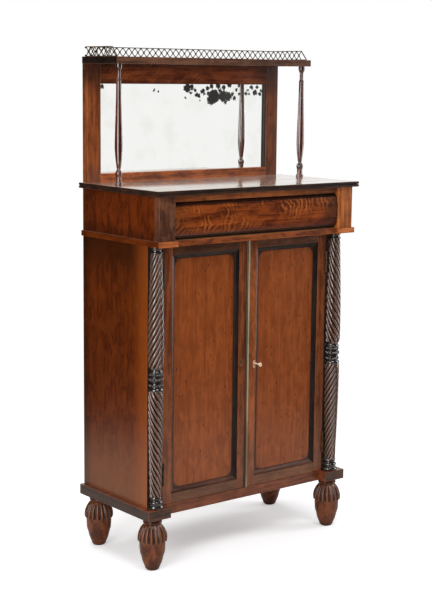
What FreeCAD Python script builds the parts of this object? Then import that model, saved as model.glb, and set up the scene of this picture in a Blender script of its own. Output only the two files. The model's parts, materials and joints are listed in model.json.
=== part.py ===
import FreeCAD, Part
import os
from types import SimpleNamespace

import Sketcher

# A small chiffonier: a two-door cupboard on four turned feet, a frieze drawer that
# oversails it, and above the worktop a mirror frame and a shelf with a brass gallery.
#
# Millimetres. +Z is up, the front faces -Y and +X is to the viewer's right.
# The origin is on the floor, at the middle of the plan.

doc = FreeCAD.newDocument("Chiffonier")
sheet = doc.addObject("Spreadsheet::Sheet", "Sizes")

DRIVING_SIZES = [
    # the carcass
    ("carcass_width", 680.0, "outside faces of the side boards"),
    ("cupboard_depth", 304.0, "back to the face of the doors"),
    ("frieze_depth", 354.0, "back to the face of the frieze dies"),
    ("cupboard_height", 705.0, "plinth to the underside of the frieze"),
    ("side_thickness", 18.0, "side boards"),
    ("back_thickness", 9.0, "back boards, let into rebates"),
    ("post_width", 32.0, "front posts, inside the side boards"),
    ("post_thickness", 22.0, "front posts, front to back"),
    # the plinth
    ("plinth_thickness", 28.0, "plinth board"),
    ("plinth_overhang", 14.0, "plinth past the side boards"),
    ("plinth_reveal", 1.0, "plinth past the face of the doors"),
    ("break_width", 73.0, "blocks that break forward under the columns"),
    ("break_projection", 28.0, "how far those blocks stand forward"),
    # the feet
    ("foot_height", 144.0, "floor to the plinth"),
    ("foot_toe_radius", 16.0, "flat end on the floor"),
    ("foot_body_radius", 35.5, "plain body, under the cap"),
    ("foot_body_height", 81.0, "plain body"),
    ("foot_body_centre", 195.0, "centre of the body's curve, past the axis"),
    ("foot_cap_radius", 40.5, "gadrooned cap at its widest"),
    ("foot_cap_height", 47.0, "gadrooned cap"),
    ("foot_neck_radius", 23.5, "neck above the cap"),
    ("foot_lip_height", 9.4, "rounded lower edge of the cap"),
    ("foot_lip_radius", 38.2, "underside of the cap"),
    ("foot_ring_height", 6.0, "ring round the neck"),
    ("foot_ring_bulge", 2.3, "ring past the neck"),
    ("foot_tenon_radius", 12.0, "tenon in the plinth"),
    ("foot_tenon_length", 20.0, "tenon in the plinth"),
    ("foot_side_inset", 35.5, "foot axis from the end of the plinth"),
    ("foot_front_inset", 33.0, "front foot axis from the front of its block"),
    ("foot_back_inset", 42.0, "back foot axis from the back"),
    # the corner columns
    ("column_radius", 22.0, "widest part of the twisted shafts"),
    ("column_inset", 23.0, "column axis from the side of the carcass"),
    ("column_forward", 5.0, "column axis in front of the posts"),
    ("column_foot_radius", 16.0, "lower shaft at its foot"),
    ("column_head_radius", 14.0, "upper shaft at its head"),
    ("column_step", 1.0, "step between the rings of base, collar and capital"),
    ("column_base_height", 22.0, "turned base"),
    ("column_capital_height", 32.0, "turned capital"),
    ("collar_height", 354.0, "middle of the collar above the plinth"),
    ("collar_length", 52.0, "collar between the two shafts"),
    ("collar_ring_height", 14.0, "ring at the middle of the collar"),
    ("collar_waist_radius", 17.0, "hollows either side of the ring"),
    ("shaft_curve_centre", 2600.0, "centre of each shaft's long curve"),
    # the moulding and the frieze
    ("moulding_height", 15.0, "square moulding under the frieze"),
    ("moulding_projection", 6.0, "square moulding past the frieze"),
    ("frieze_height", 116.0, "moulding to the worktop"),
    ("die_width", 52.0, "flat block at each end of the frieze"),
    ("die_thickness", 20.0, "flat block, front to back"),
    ("die_projection", 8.0, "blocks proud of the rail between them"),
    ("frieze_rail_height", 16.0, "rail over the drawer"),
    ("frieze_rail_depth", 40.0, "rail over the drawer"),
    ("guide_height", 20.0, "drawer guides"),
    # the drawer
    ("drawer_gap", 1.0, "gap round the drawer front"),
    ("drawer_running_gap", 0.3, "under the drawer sides"),
    ("drawer_lip_setback", 8.0, "edge of the drawer front behind the rail"),
    ("drawer_lip_thickness", 12.0, "edge of the drawer front"),
    ("drawer_lip_height", 3.0, "flat edge of the drawer front"),
    ("cushion_edge_height", 12.0, "quick curve at the edge of the cushion"),
    ("cushion_edge_rise", 10.0, "quick curve at the edge of the cushion"),
    ("cushion_edge_centre", 4.0, "centre of the quick curve, behind the edge"),
    ("cushion_crown_centre", 150.0, "centre of the crown, behind its face"),
    ("drawer_side_thickness", 9.0, "drawer sides and back"),
    ("drawer_side_height", 95.0, "drawer sides"),
    ("drawer_back_space", 14.0, "behind the drawer"),
    ("drawer_bottom_thickness", 6.0, "drawer bottom"),
    ("drawer_bottom_height", 5.0, "drawer bottom above the sides' edge"),
    ("groove_depth", 5.0, "grooves in the drawer sides"),
    ("groove_slack", 0.2, "round a board in its groove or rebate"),
    # the worktop
    ("top_thickness", 15.0, "worktop"),
    ("top_overhang", 13.0, "worktop past the frieze"),
    ("top_quirk_height", 0.8, "groove between the two reeds of its edge"),
    ("top_quirk_depth", 3.0, "groove between the two reeds of its edge"),
    ("top_reed_round", 2.8, "rounding of those reeds"),
    # the upper stage
    ("upper_height", 321.0, "worktop to the shelf"),
    ("mirror_frame_thickness", 23.0, "mirror frame"),
    ("mirror_stile_width", 44.0, "upright of the mirror frame"),
    ("mirror_top_rail_height", 54.0, "top rail of the mirror frame"),
    ("mirror_bottom_rail_height", 23.0, "bottom rail of the mirror frame"),
    ("mirror_setback", 11.0, "glass behind the face of its frame"),
    ("mirror_rebate", 6.0, "frame over the edge of the glass"),
    ("mirror_thickness", 3.0, "mirror plate"),
    ("backboard_thickness", 5.0, "board behind the mirror plate"),
    ("shelf_thickness", 18.0, "upper shelf"),
    ("shelf_depth", 167.0, "upper shelf"),
    ("shelf_overhang", 1.0, "upper shelf past the mirror frame"),
    ("baluster_radius", 10.8, "shelf column at its widest"),
    ("baluster_end_radius", 5.2, "shelf column at its narrowest"),
    ("baluster_ring_radius", 7.6, "ring under the neck of the shelf column"),
    ("baluster_cup_radius", 9.5, "cup at the head of the shelf column"),
    ("baluster_foot_radius", 10.5, "foot of the shelf column"),
    ("baluster_step", 1.5, "steps between the rings of the shelf column"),
    ("baluster_base_height", 45.0, "base of the shelf column"),
    ("baluster_pad_height", 7.0, "flat disc at the foot of the base"),
    ("baluster_bead_low", 27.0, "underside of the bead round the base"),
    ("baluster_bead_high", 37.0, "top of the bead round the base"),
    ("baluster_belly_centre", 199.0, "centre of the belly's curve, past the axis"),
    ("baluster_taper_centre", 2100.0, "centre of the taper's curve, past the axis"),
    ("baluster_belly_height", 105.0, "widest place of the shelf column"),
    ("baluster_ring_height", 276.0, "ring under the neck"),
    ("baluster_cup_height", 25.0, "cup at the head of the shelf column"),
    ("baluster_rim_height", 9.0, "rim of that cup"),
    ("baluster_tenon_radius", 4.0, "tenons of the shelf column"),
    ("baluster_tenon_length", 8.0, "tenons of the shelf column"),
    ("tenon_end_gap", 0.3, "past the ends of those tenons"),
    ("baluster_side_inset", 18.5, "column axis from the end of the shelf"),
    ("baluster_front_inset", 19.5, "column axis from the front of the shelf"),
    # the gallery
    ("gallery_height", 27.0, "brass gallery"),
    ("gallery_thickness", 1.8, "brass strip"),
    ("gallery_rail", 2.4, "solid strip along the top and bottom"),
    ("gallery_bar", 1.8, "crossing bars"),
    ("gallery_inset", 7.0, "gallery from the edges of the shelf"),
    ("gallery_front_setback", 34.0, "head of the gallery from the shelf's front"),
    ("gallery_rake", 23.0, "how far its foot runs on past its head"),
    ("gallery_back_cells", 33.0, "crosses along the back"),
    ("gallery_side_cells", 6.0, "crosses along each side"),
    # the doors
    ("door_gap", 1.0, "round each door"),
    ("door_thickness", 20.0, "door frames"),
    ("meeting_offset", 5.0, "meeting edge left of the middle"),
    ("meeting_gap", 1.3, "left door short of the brass strip"),
    ("meeting_lap", 0.5, "brass strip past the edge of the right door"),
    ("frame_flat", 29.5, "flat of the hinge stiles"),
    ("rail_flat", 27.0, "flat of the door rails"),
    ("sight_edge", 43.5, "inner edge of each panel from the middle"),
    ("frame_moulding", 13.0, "moulded inner edge of the door frames"),
    ("frame_moulding_depth", 8.0, "moulded inner edge of the door frames"),
    ("frame_quirk", 2.0, "step at the outer edge of that moulding"),
    ("frame_moulding_centre", 2.2, "centre of its curve, outside its edge"),
    ("panel_thickness", 7.0, "door panels"),
    ("panel_groove", 8.0, "groove that holds a panel"),
    ("strip_width", 10.0, "brass meeting strip"),
    ("strip_thickness", 4.0, "brass meeting strip"),
    ("strip_edge", 1.6, "brass meeting strip at its edges"),
    ("strip_valley", 2.8, "brass meeting strip between its reeds"),
    ("strip_slope", 0.7, "sloping side of each reed"),
    # the hinges
    ("hinge_length", 61.0, "butt hinges"),
    ("hinge_end", 86.0, "middle of a hinge from the end of the door"),
    ("hinge_leaf_thickness", 1.0, "hinge leaves"),
    ("hinge_leaf_depth", 18.0, "hinge leaves"),
    ("hinge_barrel_radius", 3.1, "hinge knuckles"),
    ("hinge_pin_radius", 1.5, "hinge pins"),
    ("hinge_offset", 3.4, "hinge pin in front of the door"),
    ("running_fit", 0.05, "round pins, rods and stems in their holes"),
    # the lock, its key and the keyholes
    ("lock_height", 353.5, "lock above the plinth"),
    ("lock_from_edge", 30.5, "key from the edge of the right door"),
    ("lock_inset", 2.5, "lock case from the edge of the right door"),
    ("lock_length", 46.0, "lock case"),
    ("lock_case_height", 40.0, "lock case"),
    ("lock_depth", 11.0, "lock case"),
    ("lock_wall", 1.2, "lock case"),
    ("lock_bolt_height", 8.6, "bolt"),
    ("lock_bolt_thickness", 5.4, "bolt"),
    ("lock_bolt_length", 30.0, "bolt"),
    ("lock_bolt_rise", 8.2, "underside of the bolt above the key"),
    ("lock_bolt_gap", 0.3, "round the bolt in its case"),
    ("key_stem_radius", 2.0, "key"),
    ("key_bit_reach", 7.0, "key"),
    ("key_bit_width", 4.0, "key"),
    ("key_bit_thickness", 1.7, "key"),
    ("key_stem_out", 22.5, "stem in front of the door"),
    ("key_bow_radius", 4.4, "middle of the ring of the bow"),
    ("key_bow_wire", 1.6, "thickness of that ring, as a radius"),
    ("key_collar_radius", 3.0, "collar under the bow"),
    ("key_collar_length", 2.0, "collar under the bow"),
    ("keyhole_radius", 2.4, "round of a keyhole"),
    ("keyhole_slot", 2.2, "slot of a keyhole"),
    ("keyhole_drop", 8.0, "slot below the round"),
    ("plate_width", 8.2, "right keyhole plate"),
    ("plate_height", 22.0, "right keyhole plate"),
    ("plate_proud", 1.2, "right keyhole plate on the door"),
    ("liner_width", 7.0, "left keyhole liner"),
    ("liner_height", 18.5, "left keyhole liner"),
    ("liner_depth", 3.0, "left keyhole liner in the door"),
    ("liner_height_up", 363.0, "left keyhole above the plinth"),
    ("liner_from_edge", 14.3, "left keyhole from the edge of its door"),
    # the bolts of the left door
    ("bolt_radius", 3.0, "rod of a bolt"),
    ("bolt_length", 76.0, "rod of a bolt"),
    ("bolt_travel", 9.0, "travel of a bolt"),
    ("bolt_from_edge", 18.9, "bolt from the edge of the left door"),
    ("bolt_standoff", 5.5, "bolt behind the left door"),
    ("bolt_plate_thickness", 1.5, "bolt plate"),
    ("bolt_plate_width", 12.0, "bolt plate"),
    ("bolt_plate_length", 58.0, "bolt plate"),
    ("bolt_lug_thickness", 5.0, "lugs that hold the rod"),
    ("bolt_lug_wall", 1.2, "lugs past the rod"),
    ("bolt_knob_radius", 2.1, "knob on the rod"),
    ("bolt_knob_length", 7.2, "knob on the rod"),
    ("bolt_knob_rise", 34.2, "knob from the inner end of the rod"),
    ("bolt_recess", 0.8, "end of the rod inside the edge of the door"),
    ("bolt_socket_play", 0.4, "round the rod in its socket"),
    ("bolt_socket_room", 3.8, "socket past the end of the shot bolt"),
    # inside the cupboard
    ("inner_shelf_height", 298.0, "top of the shelf above the plinth"),
    ("inner_shelf_thickness", 14.0, "shelf"),
    ("inner_shelf_setback", 40.0, "shelf behind the face of the doors"),
    ("bearer_width", 16.0, "strips under the shelf"),
    ("bearer_height", 14.0, "strips under the shelf"),
]
sheet.set("A1", "size")
for row, (alias, number, meaning) in enumerate(DRIVING_SIZES, start=2):
    sheet.set("A%d" % row, meaning)
    sheet.set("B%d" % row, "%g" % number)
    sheet.setAlias("B%d" % row, alias)
doc.recompute()


class Size:
    """A length that carries its number together with its spreadsheet formula."""

    def __init__(self, text, number):
        self.text = text
        self.number = number

    def __add__(self, other):
        other = as_size(other)
        return Size("(%s + %s)" % (self.text, other.text), self.number + other.number)

    def __sub__(self, other):
        other = as_size(other)
        return Size("(%s - %s)" % (self.text, other.text), self.number - other.number)

    def __mul__(self, factor):
        factor = as_size(factor)
        return Size("(%s * %s)" % (self.text, factor.text), self.number * factor.number)

    def __truediv__(self, divisor):
        divisor = as_size(divisor)
        return Size("(%s / %s)" % (self.text, divisor.text), self.number / divisor.number)

    def __neg__(self):
        return Size("(0 - %s)" % self.text, -self.number)


def as_size(value):
    if isinstance(value, Size):
        return value
    return Size("(%r)" % float(value), float(value))


ZERO = Size("0", 0.0)
d = SimpleNamespace(**{
    alias: Size("Sizes." + alias, float(number)) for alias, number, meaning in DRIVING_SIZES
})


BACK_BOARDS = 3
STRIP_REEDS = 3
KNUCKLES = 5
TOUCHING = 0.01


# ---------------------------------------------------------------- shared helpers

pieces = []


def keep(label, thing):
    """Name a finished sub-part and put it on the list of what is written out."""
    thing.Label = label
    pieces.append(thing)
    return thing


def bind(thing, path, length):
    thing.setExpression(path, as_size(length).text)


def place(thing, x, y, z):
    for axis, length in (("x", x), ("y", y), ("z", z)):
        bind(thing, "Placement.Base." + axis, length)


def span(side, near, far):
    """The range of X between two distances from the middle, on one side of it."""
    return (near, far) if side > 0 else (-far, -near)


def box(label, x, y, z):
    """A board or a cutting block between two values on each axis."""
    made = doc.addObject("Part::Box", label)
    made.Label = label
    bind(made, "Length", x[1] - x[0])
    bind(made, "Width", y[1] - y[0])
    bind(made, "Height", z[1] - z[0])
    place(made, x[0], y[0], z[0])
    return made


UPWARD = FreeCAD.Rotation()
BACKWARD = FreeCAD.Rotation(FreeCAD.Vector(1, 0, 0), -90)
SIDEWAYS = FreeCAD.Rotation(FreeCAD.Vector(0, 1, 0), 90)


def rod(label, radius, length, x, y, z, direction=UPWARD):
    """A cylinder that starts at a point and runs up, back or to the right."""
    made = doc.addObject("Part::Cylinder", label)
    made.Label = label
    made.Placement.Rotation = direction
    bind(made, "Radius", radius)
    bind(made, "Height", length)
    place(made, x, y, z)
    return made


def fuse(label, *shapes):
    made = doc.addObject("Part::MultiFuse", label)
    made.Label = label
    made.Shapes = list(shapes)
    made.Refine = True
    return made


def cut(label, base, *tools):
    """The base with every tool taken out of it."""
    tool = tools[0] if len(tools) == 1 else fuse(label + "_tools", *tools)
    made = doc.addObject("Part::Cut", label)
    made.Label = label
    made.Base = base
    made.Tool = tool
    return made


def common(label, first, second):
    made = doc.addObject("Part::Common", label)
    made.Label = label
    made.Base = first
    made.Tool = second
    return made


def group(label, *solids):
    """Pieces that stay separate solids but share one node."""
    made = doc.addObject("Part::Compound", label)
    made.Label = label
    made.Links = list(solids)
    return made


def new_body(label):
    made = doc.addObject("PartDesign::Body", label)
    made.Label = label
    return made


def new_sketch(body, name, role, offset=None):
    """A sketch on one of the body's own origin planes."""
    plane = next(item for item in body.Origin.OriginFeatures if item.Role == role)
    sketch = body.newObject("Sketcher::SketchObject", name)
    sketch.AttachmentSupport = [(plane, "")]
    sketch.MapMode = "FlatFace"
    if offset is not None:
        bind(sketch, "AttachmentOffset.Base.z", offset)
    return sketch


def fix_point(sketch, item, end, axis, length):
    """Tie one coordinate of a point to the sheet, or to the axis where it is nothing."""
    if length is ZERO:
        sketch.addConstraint(Sketcher.Constraint("PointOnObject", item, end, -2 if axis == "X" else -1))
        return
    number = sketch.addConstraint(
        Sketcher.Constraint("Distance" + axis, -1, 1, item, end, length.number))
    bind(sketch, "Constraints[%d]" % number, length)


def outline(sketch, corners):
    """A closed outline, every corner tied to the sheet.

    A corner is (x, y), or (x, y, centre) where the run to the next corner is an arc
    whose centre has that x: the arc bulges away from its centre.
    """
    points = [FreeCAD.Vector(c[0].number, c[1].number, 0) for c in corners]
    first_item = sketch.GeometryCount
    ends = []
    for number, corner in enumerate(corners):
        start = points[number]
        finish = points[(number + 1) % len(points)]
        if len(corner) == 2:
            sketch.addGeometry(Part.LineSegment(start, finish), False)
            ends.append((1, 2))
            continue
        # the centre lies where the line that halves the chord meets the given x
        middle = (start + finish) / 2
        chord = finish - start
        centre = FreeCAD.Vector(corner[2].number, 0, 0)
        centre.y = middle.y - (centre.x - middle.x) * chord.x / chord.y
        arm_start = start - centre
        arm_finish = finish - centre
        turns_left = arm_start.x * arm_finish.y - arm_start.y * arm_finish.x > 0
        if not turns_left:
            arm_start, arm_finish = arm_finish, arm_start
        flat = FreeCAD.Vector(1, 0, 0)
        angles = [flat.getAngle(arm) * (1 if arm.y >= 0 else -1) for arm in (arm_start, arm_finish)]
        circle = Part.Circle(centre, FreeCAD.Vector(0, 0, 1), arm_start.Length)
        sketch.addGeometry(Part.ArcOfCircle(circle, angles[0], angles[1]), False)
        ends.append((1, 2) if turns_left else (2, 1))
    for number, corner in enumerate(corners):
        item = first_item + number
        following = (number + 1) % len(corners)
        sketch.addConstraint(Sketcher.Constraint(
            "Coincident", item, ends[number][1], first_item + following, ends[following][0]))
        fix_point(sketch, item, ends[number][0], "X", corner[0])
        fix_point(sketch, item, ends[number][0], "Y", corner[1])
        if len(corner) == 3:
            fix_point(sketch, item, 3, "X", corner[2])


def circle(sketch, x, y, radius):
    item = sketch.addGeometry(
        Part.Circle(FreeCAD.Vector(x.number, y.number, 0), FreeCAD.Vector(0, 0, 1), radius.number))
    fix_point(sketch, item, 3, "X", x)
    fix_point(sketch, item, 3, "Y", y)
    number = sketch.addConstraint(Sketcher.Constraint("Radius", item, radius.number))
    bind(sketch, "Constraints[%d]" % number, radius)


def pad(body, sketch, length):
    made = body.newObject("PartDesign::Pad", "Pad")
    made.Profile = sketch
    bind(made, "Length", length)
    body.Tip = made
    return made


def pocket(body, sketch, depth, along_normal):
    """A pocket that runs along the sketch's normal, or against it."""
    made = body.newObject("PartDesign::Pocket", "Pocket")
    made.Profile = sketch
    made.Reversed = along_normal
    bind(made, "Length", depth)
    body.Tip = made
    return made


def turned(label, corners):
    """A turned piece: its half outline (radius, height) spun about the Z axis."""
    body = new_body(label)
    sketch = new_sketch(body, "HalfOutline", "XZ_Plane")
    outline(sketch, corners)
    spin = body.newObject("PartDesign::Revolution", "Turning")
    spin.Profile = sketch
    spin.ReferenceAxis = (sketch, ["V_Axis"])
    spin.Angle = 360
    body.Tip = spin
    return body


def prism(label, role, corners, length, offset=None):
    """An outline pushed out along the normal of one origin plane."""
    body = new_body(label)
    sketch = new_sketch(body, "Outline", role, offset)
    outline(sketch, corners)
    pad(body, sketch, length)
    return body


# ---------------------------------------------------------------- levels and planes

half_width = d.carcass_width / 2
inner_width = half_width - d.side_thickness
opening = inner_width - d.post_width
rebate = half_width - d.side_thickness / 2

back = (d.frieze_depth + d.top_overhang) / 2
face = back - d.cupboard_depth
frieze_face = back - d.frieze_depth
rail_face = frieze_face + d.die_projection
back_inside = back - d.back_thickness

plinth_base = d.foot_height
plinth_top = plinth_base + d.plinth_thickness
cupboard_top = plinth_top + d.cupboard_height
frieze_base = cupboard_top + d.moulding_height
frieze_top = frieze_base + d.frieze_height
worktop = frieze_top + d.top_thickness
shelf_base = worktop + d.upper_height
shelf_top = shelf_base + d.shelf_thickness


# ---------------------------------------------------------------- feet and plinth

plinth_half = half_width + d.plinth_overhang
plinth_front = face - d.plinth_reveal
block_front = plinth_front - d.break_projection
foot_x = plinth_half - d.foot_side_inset
front_foot_y = block_front + d.foot_front_inset
back_foot_y = back - d.foot_back_inset
bolt_x = -(d.meeting_offset + d.meeting_gap + d.bolt_from_edge)
bolt_y = face + d.door_thickness + d.bolt_standoff
bolt_entry = d.bolt_travel - d.bolt_recess - d.door_gap
bolt_socket_depth = bolt_entry + d.bolt_socket_room


def make_foot(label, x, y):
    """A foot turned as an acorn: flat toe, plain body, overhanging cap, ringed neck, tenon."""
    cap_base = d.foot_body_height
    cap_top = cap_base + d.foot_cap_height
    ring_base = cap_top + (d.foot_height - cap_top - d.foot_ring_height) / 2
    ring_top = ring_base + d.foot_ring_height
    shoulder = d.foot_cap_radius - d.foot_cap_height
    foot = turned(label, [
        (ZERO, ZERO),
        (d.foot_toe_radius, ZERO, -d.foot_body_centre),
        (d.foot_body_radius, cap_base),
        (d.foot_lip_radius, cap_base, d.foot_cap_radius - d.foot_cap_height / 2),
        (d.foot_cap_radius, cap_base + d.foot_lip_height, shoulder),
        (d.foot_neck_radius, cap_top),
        (d.foot_neck_radius, ring_base, d.foot_neck_radius + d.foot_ring_bulge - d.foot_ring_height / 2),
        (d.foot_neck_radius, ring_top),
        (d.foot_neck_radius, d.foot_height),
        (d.foot_tenon_radius, d.foot_height),
        (d.foot_tenon_radius, d.foot_height + d.foot_tenon_length),
        (ZERO, d.foot_height + d.foot_tenon_length),
    ])
    place(foot, x, y, ZERO)
    return keep(label, foot)


make_foot("foot_front_left", -foot_x, front_foot_y)
make_foot("foot_front_right", foot_x, front_foot_y)
make_foot("foot_back_left", -foot_x, back_foot_y)
make_foot("foot_back_right", foot_x, back_foot_y)


def make_plinth():
    """One board whose front steps forward at both ends, with a socket over each foot."""
    block_inner = plinth_half - d.break_width
    body = prism("plinth_board", "XY_Plane", [
        (-plinth_half, block_front),
        (-block_inner, block_front),
        (-block_inner, plinth_front),
        (block_inner, plinth_front),
        (block_inner, block_front),
        (plinth_half, block_front),
        (plinth_half, back),
        (-plinth_half, back),
    ], d.plinth_thickness)
    sockets = new_sketch(body, "FootSockets", "XY_Plane")
    for x in (-foot_x, foot_x):
        for y in (front_foot_y, back_foot_y):
            circle(sockets, x, y, d.foot_tenon_radius + d.running_fit)
    pocket(body, sockets, d.foot_tenon_length + d.tenon_end_gap, along_normal=True)
    bolt_socket = new_sketch(body, "BoltSocket", "XY_Plane", d.plinth_thickness)
    circle(bolt_socket, bolt_x, bolt_y, d.bolt_radius + d.bolt_socket_play)
    pocket(body, bolt_socket, bolt_socket_depth, along_normal=False)
    place(body, ZERO, ZERO, plinth_base)
    return keep("plinth_board", body)


make_plinth()


# ---------------------------------------------------------------- the cupboard

door_base = plinth_top + d.door_gap
door_top = cupboard_top - d.door_gap
hinge_levels = (door_base + d.hinge_end, door_top - d.hinge_end)
hinge_x = opening - d.door_gap / 2
hinge_y = face - d.hinge_offset


def side_name(side):
    return "left" if side < 0 else "right"


def leaf_recess(label, side, near, far, level):
    """The shallow bed of one hinge leaf."""
    half = d.hinge_length / 2 + d.groove_slack
    return box(label, span(side, near, far), (face - d.door_gap, face + d.hinge_leaf_depth),
               (level - half, level + half))


def make_side_board(label, side, front, base, top):
    """A side board, with the rebate for the back boards cut in its rear edge."""
    board = box(label + "_blank", span(side, inner_width, half_width), (front, back), (base, top))
    step = box(label + "_rebate", span(side, inner_width, rebate), (back_inside, back), (base, top))
    return keep(label, cut(label, board, step))


def make_post(side):
    """The front post that carries a door and its column."""
    label = "post_" + side_name(side)
    post = box(label + "_blank", span(side, opening, inner_width),
               (face, face + d.post_thickness), (plinth_top, cupboard_top))
    beds = [leaf_recess("%s_bed_%d" % (label, number), side, opening,
                        opening + d.hinge_leaf_thickness, level)
            for number, level in enumerate(hinge_levels)]
    return keep(label, cut(label, post, *beds))


def column_outline():
    """Base, lower shaft, ringed collar, upper shaft and capital, from the plinth upward."""
    foot = d.column_foot_radius
    head = d.column_head_radius
    wide = d.column_radius
    waist = d.collar_waist_radius
    base = d.column_base_height
    top = d.cupboard_height
    capital = top - d.column_capital_height
    collar_low = d.collar_height - d.collar_length / 2
    collar_high = d.collar_height + d.collar_length / 2
    ring_low = d.collar_height - d.collar_ring_height / 2
    ring_high = d.collar_height + d.collar_ring_height / 2
    round_off = d.collar_ring_height
    step = d.column_step
    ring = d.column_capital_height / 5
    return [
        (ZERO, ZERO),
        (wide - step * 2, ZERO, wide - step * 4),
        (wide - step * 2, base / 3),
        (wide - step * 4, base / 3),
        (wide - step * 4, base / 2, wide - step * 6),
        (wide - step * 4, base * 2 / 3),
        (foot + step, base * 5 / 6),
        (foot, base, -d.shaft_curve_centre),
        (wide - step / 2, collar_low - round_off, wide - round_off),
        (waist + step, collar_low),
        (waist, collar_low + step * 4),
        (waist, ring_low),
        (waist + step * 2, ring_low, waist - step * 2),
        (waist + step * 2, ring_high),
        (waist, ring_high),
        (waist, collar_high - step * 4),
        (waist + step, collar_high, wide - round_off),
        (wide - step / 2, collar_high + round_off, -d.shaft_curve_centre),
        (head, capital),
        (head + step, capital, head - step),
        (head + step, capital + ring),
        (head - step, capital + ring),
        (head - step, capital + ring * 2, head - step * 5),
        (head + step * 2, capital + ring * 4),
        (head + step * 2, top),
        (ZERO, top),
    ]


def make_column(side):
    """A turned column, planed flat behind where it is glued to the post and the side board."""
    label = "column_" + side_name(side)
    whole = turned(label + "_turning", column_outline())
    x = (half_width - d.column_inset) * side
    place(whole, x, face - d.column_forward, plinth_top)
    reach = d.column_radius * 2
    behind = box(label + "_waste", (x - reach, x + reach), (face, face + reach),
                 (plinth_base, frieze_base))
    return keep(label, cut(label, whole, behind))


for side in (-1, 1):
    make_side_board("side_" + side_name(side), side, face, plinth_top, cupboard_top)
    make_post(side)
    make_column(side)


def make_back_boards():
    """Boards side by side, from the plinth to the worktop."""
    width = rebate * 2 / BACK_BOARDS
    boards = []
    for number in range(BACK_BOARDS):
        start = width * number - rebate
        boards.append(box("back_board_%d" % number, (start, start + width), (back_inside, back),
                          (plinth_top, frieze_top)))
    return keep("back_boards", group("back_boards", *boards))


def make_inner_shelf():
    """The loose shelf and the two strips it lies on."""
    top = plinth_top + d.inner_shelf_height
    base = top - d.inner_shelf_thickness
    depth = (face + d.inner_shelf_setback, back_inside)
    reach = inner_width - d.groove_slack
    keep("inner_shelf", box("inner_shelf", (-reach, reach), depth, (base, top)))
    strips = [box("bearer_" + side_name(side), span(side, inner_width - d.bearer_width, inner_width),
                  depth, (base - d.bearer_height, base)) for side in (-1, 1)]
    keep("shelf_bearers", group("shelf_bearers", *strips))


make_back_boards()
make_inner_shelf()


# ---------------------------------------------------------------- the frieze

die_inner = half_width - d.die_width


def frieze_plan(grow):
    """The stepped front of the frieze, moved out by a distance, from left to right."""
    return [
        (-half_width - grow, frieze_face - grow),
        (-die_inner + grow, frieze_face - grow),
        (-die_inner + grow, rail_face - grow),
        (die_inner - grow, rail_face - grow),
        (die_inner - grow, frieze_face - grow),
        (half_width + grow, frieze_face - grow),
    ]


def make_frieze_floor():
    """The board between cupboard and drawer; the drawer slides on it."""
    plan = frieze_plan(ZERO) + [(half_width, back), (-half_width, back)]
    body = prism("frieze_floor_blank", "XY_Plane", plan, d.moulding_height)
    bolt_socket = new_sketch(body, "BoltSocket", "XY_Plane")
    circle(bolt_socket, bolt_x, bolt_y, d.bolt_radius + d.bolt_socket_play)
    pocket(body, bolt_socket, bolt_socket_depth, along_normal=True)
    place(body, ZERO, ZERO, cupboard_top)
    step = box("frieze_floor_rebate", (-rebate, rebate), (back_inside, back),
               (cupboard_top, frieze_base))
    return keep("frieze_floor", cut("frieze_floor", body, step))


def make_mouldings():
    """The square moulding: a stepped length in front, mitred to one along each side."""
    inner = frieze_plan(ZERO)
    outer = frieze_plan(d.moulding_projection)
    front = prism("moulding_front", "XY_Plane", outer + inner[::-1], d.moulding_height)
    place(front, ZERO, ZERO, cupboard_top)
    keep("moulding_front", front)
    for side in (-1, 1):
        label = "moulding_" + side_name(side)
        near = half_width * side
        far = (half_width + d.moulding_projection) * side
        length = prism(label, "XY_Plane", [
            (near, frieze_face),
            (far, frieze_face - d.moulding_projection),
            (far, back),
            (near, back),
        ], d.moulding_height)
        place(length, ZERO, ZERO, cupboard_top)
        keep(label, length)


def make_dies_and_rail():
    for side in (-1, 1):
        keep("frieze_die_" + side_name(side),
             box("frieze_die_" + side_name(side), span(side, die_inner, half_width),
                 (frieze_face, frieze_face + d.die_thickness), (frieze_base, frieze_top)))
        make_side_board("frieze_side_" + side_name(side), side, frieze_face + d.die_thickness,
                        frieze_base, frieze_top)
    keep("frieze_top_rail", box("frieze_top_rail", (-die_inner, die_inner),
                                (rail_face, rail_face + d.frieze_rail_depth),
                                (frieze_top - d.frieze_rail_height, frieze_top)))


def make_guides():
    """Two blocks on the frieze floor that keep the drawer square."""
    blocks = [box("guide_" + side_name(side), span(side, die_inner - d.drawer_running_gap, inner_width),
                  (frieze_face + d.die_thickness, back_inside),
                  (frieze_base, frieze_base + d.guide_height)) for side in (-1, 1)]
    keep("drawer_guides", group("drawer_guides", *blocks))


make_frieze_floor()
make_mouldings()
make_dies_and_rail()
make_guides()


# ---------------------------------------------------------------- the drawer

drawer_half = die_inner - d.drawer_gap
lip_face = rail_face + d.drawer_lip_setback
drawer_front_back = lip_face + d.drawer_lip_thickness
drawer_end = back_inside - d.drawer_back_space
drawer_base = frieze_base + d.drawer_running_gap
bottom_base = drawer_base + d.drawer_bottom_height
bottom_top = bottom_base + d.drawer_bottom_thickness
side_outer = drawer_half - d.drawer_running_gap
side_inner = side_outer - d.drawer_side_thickness
groove_end = side_inner + d.groove_depth


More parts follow.
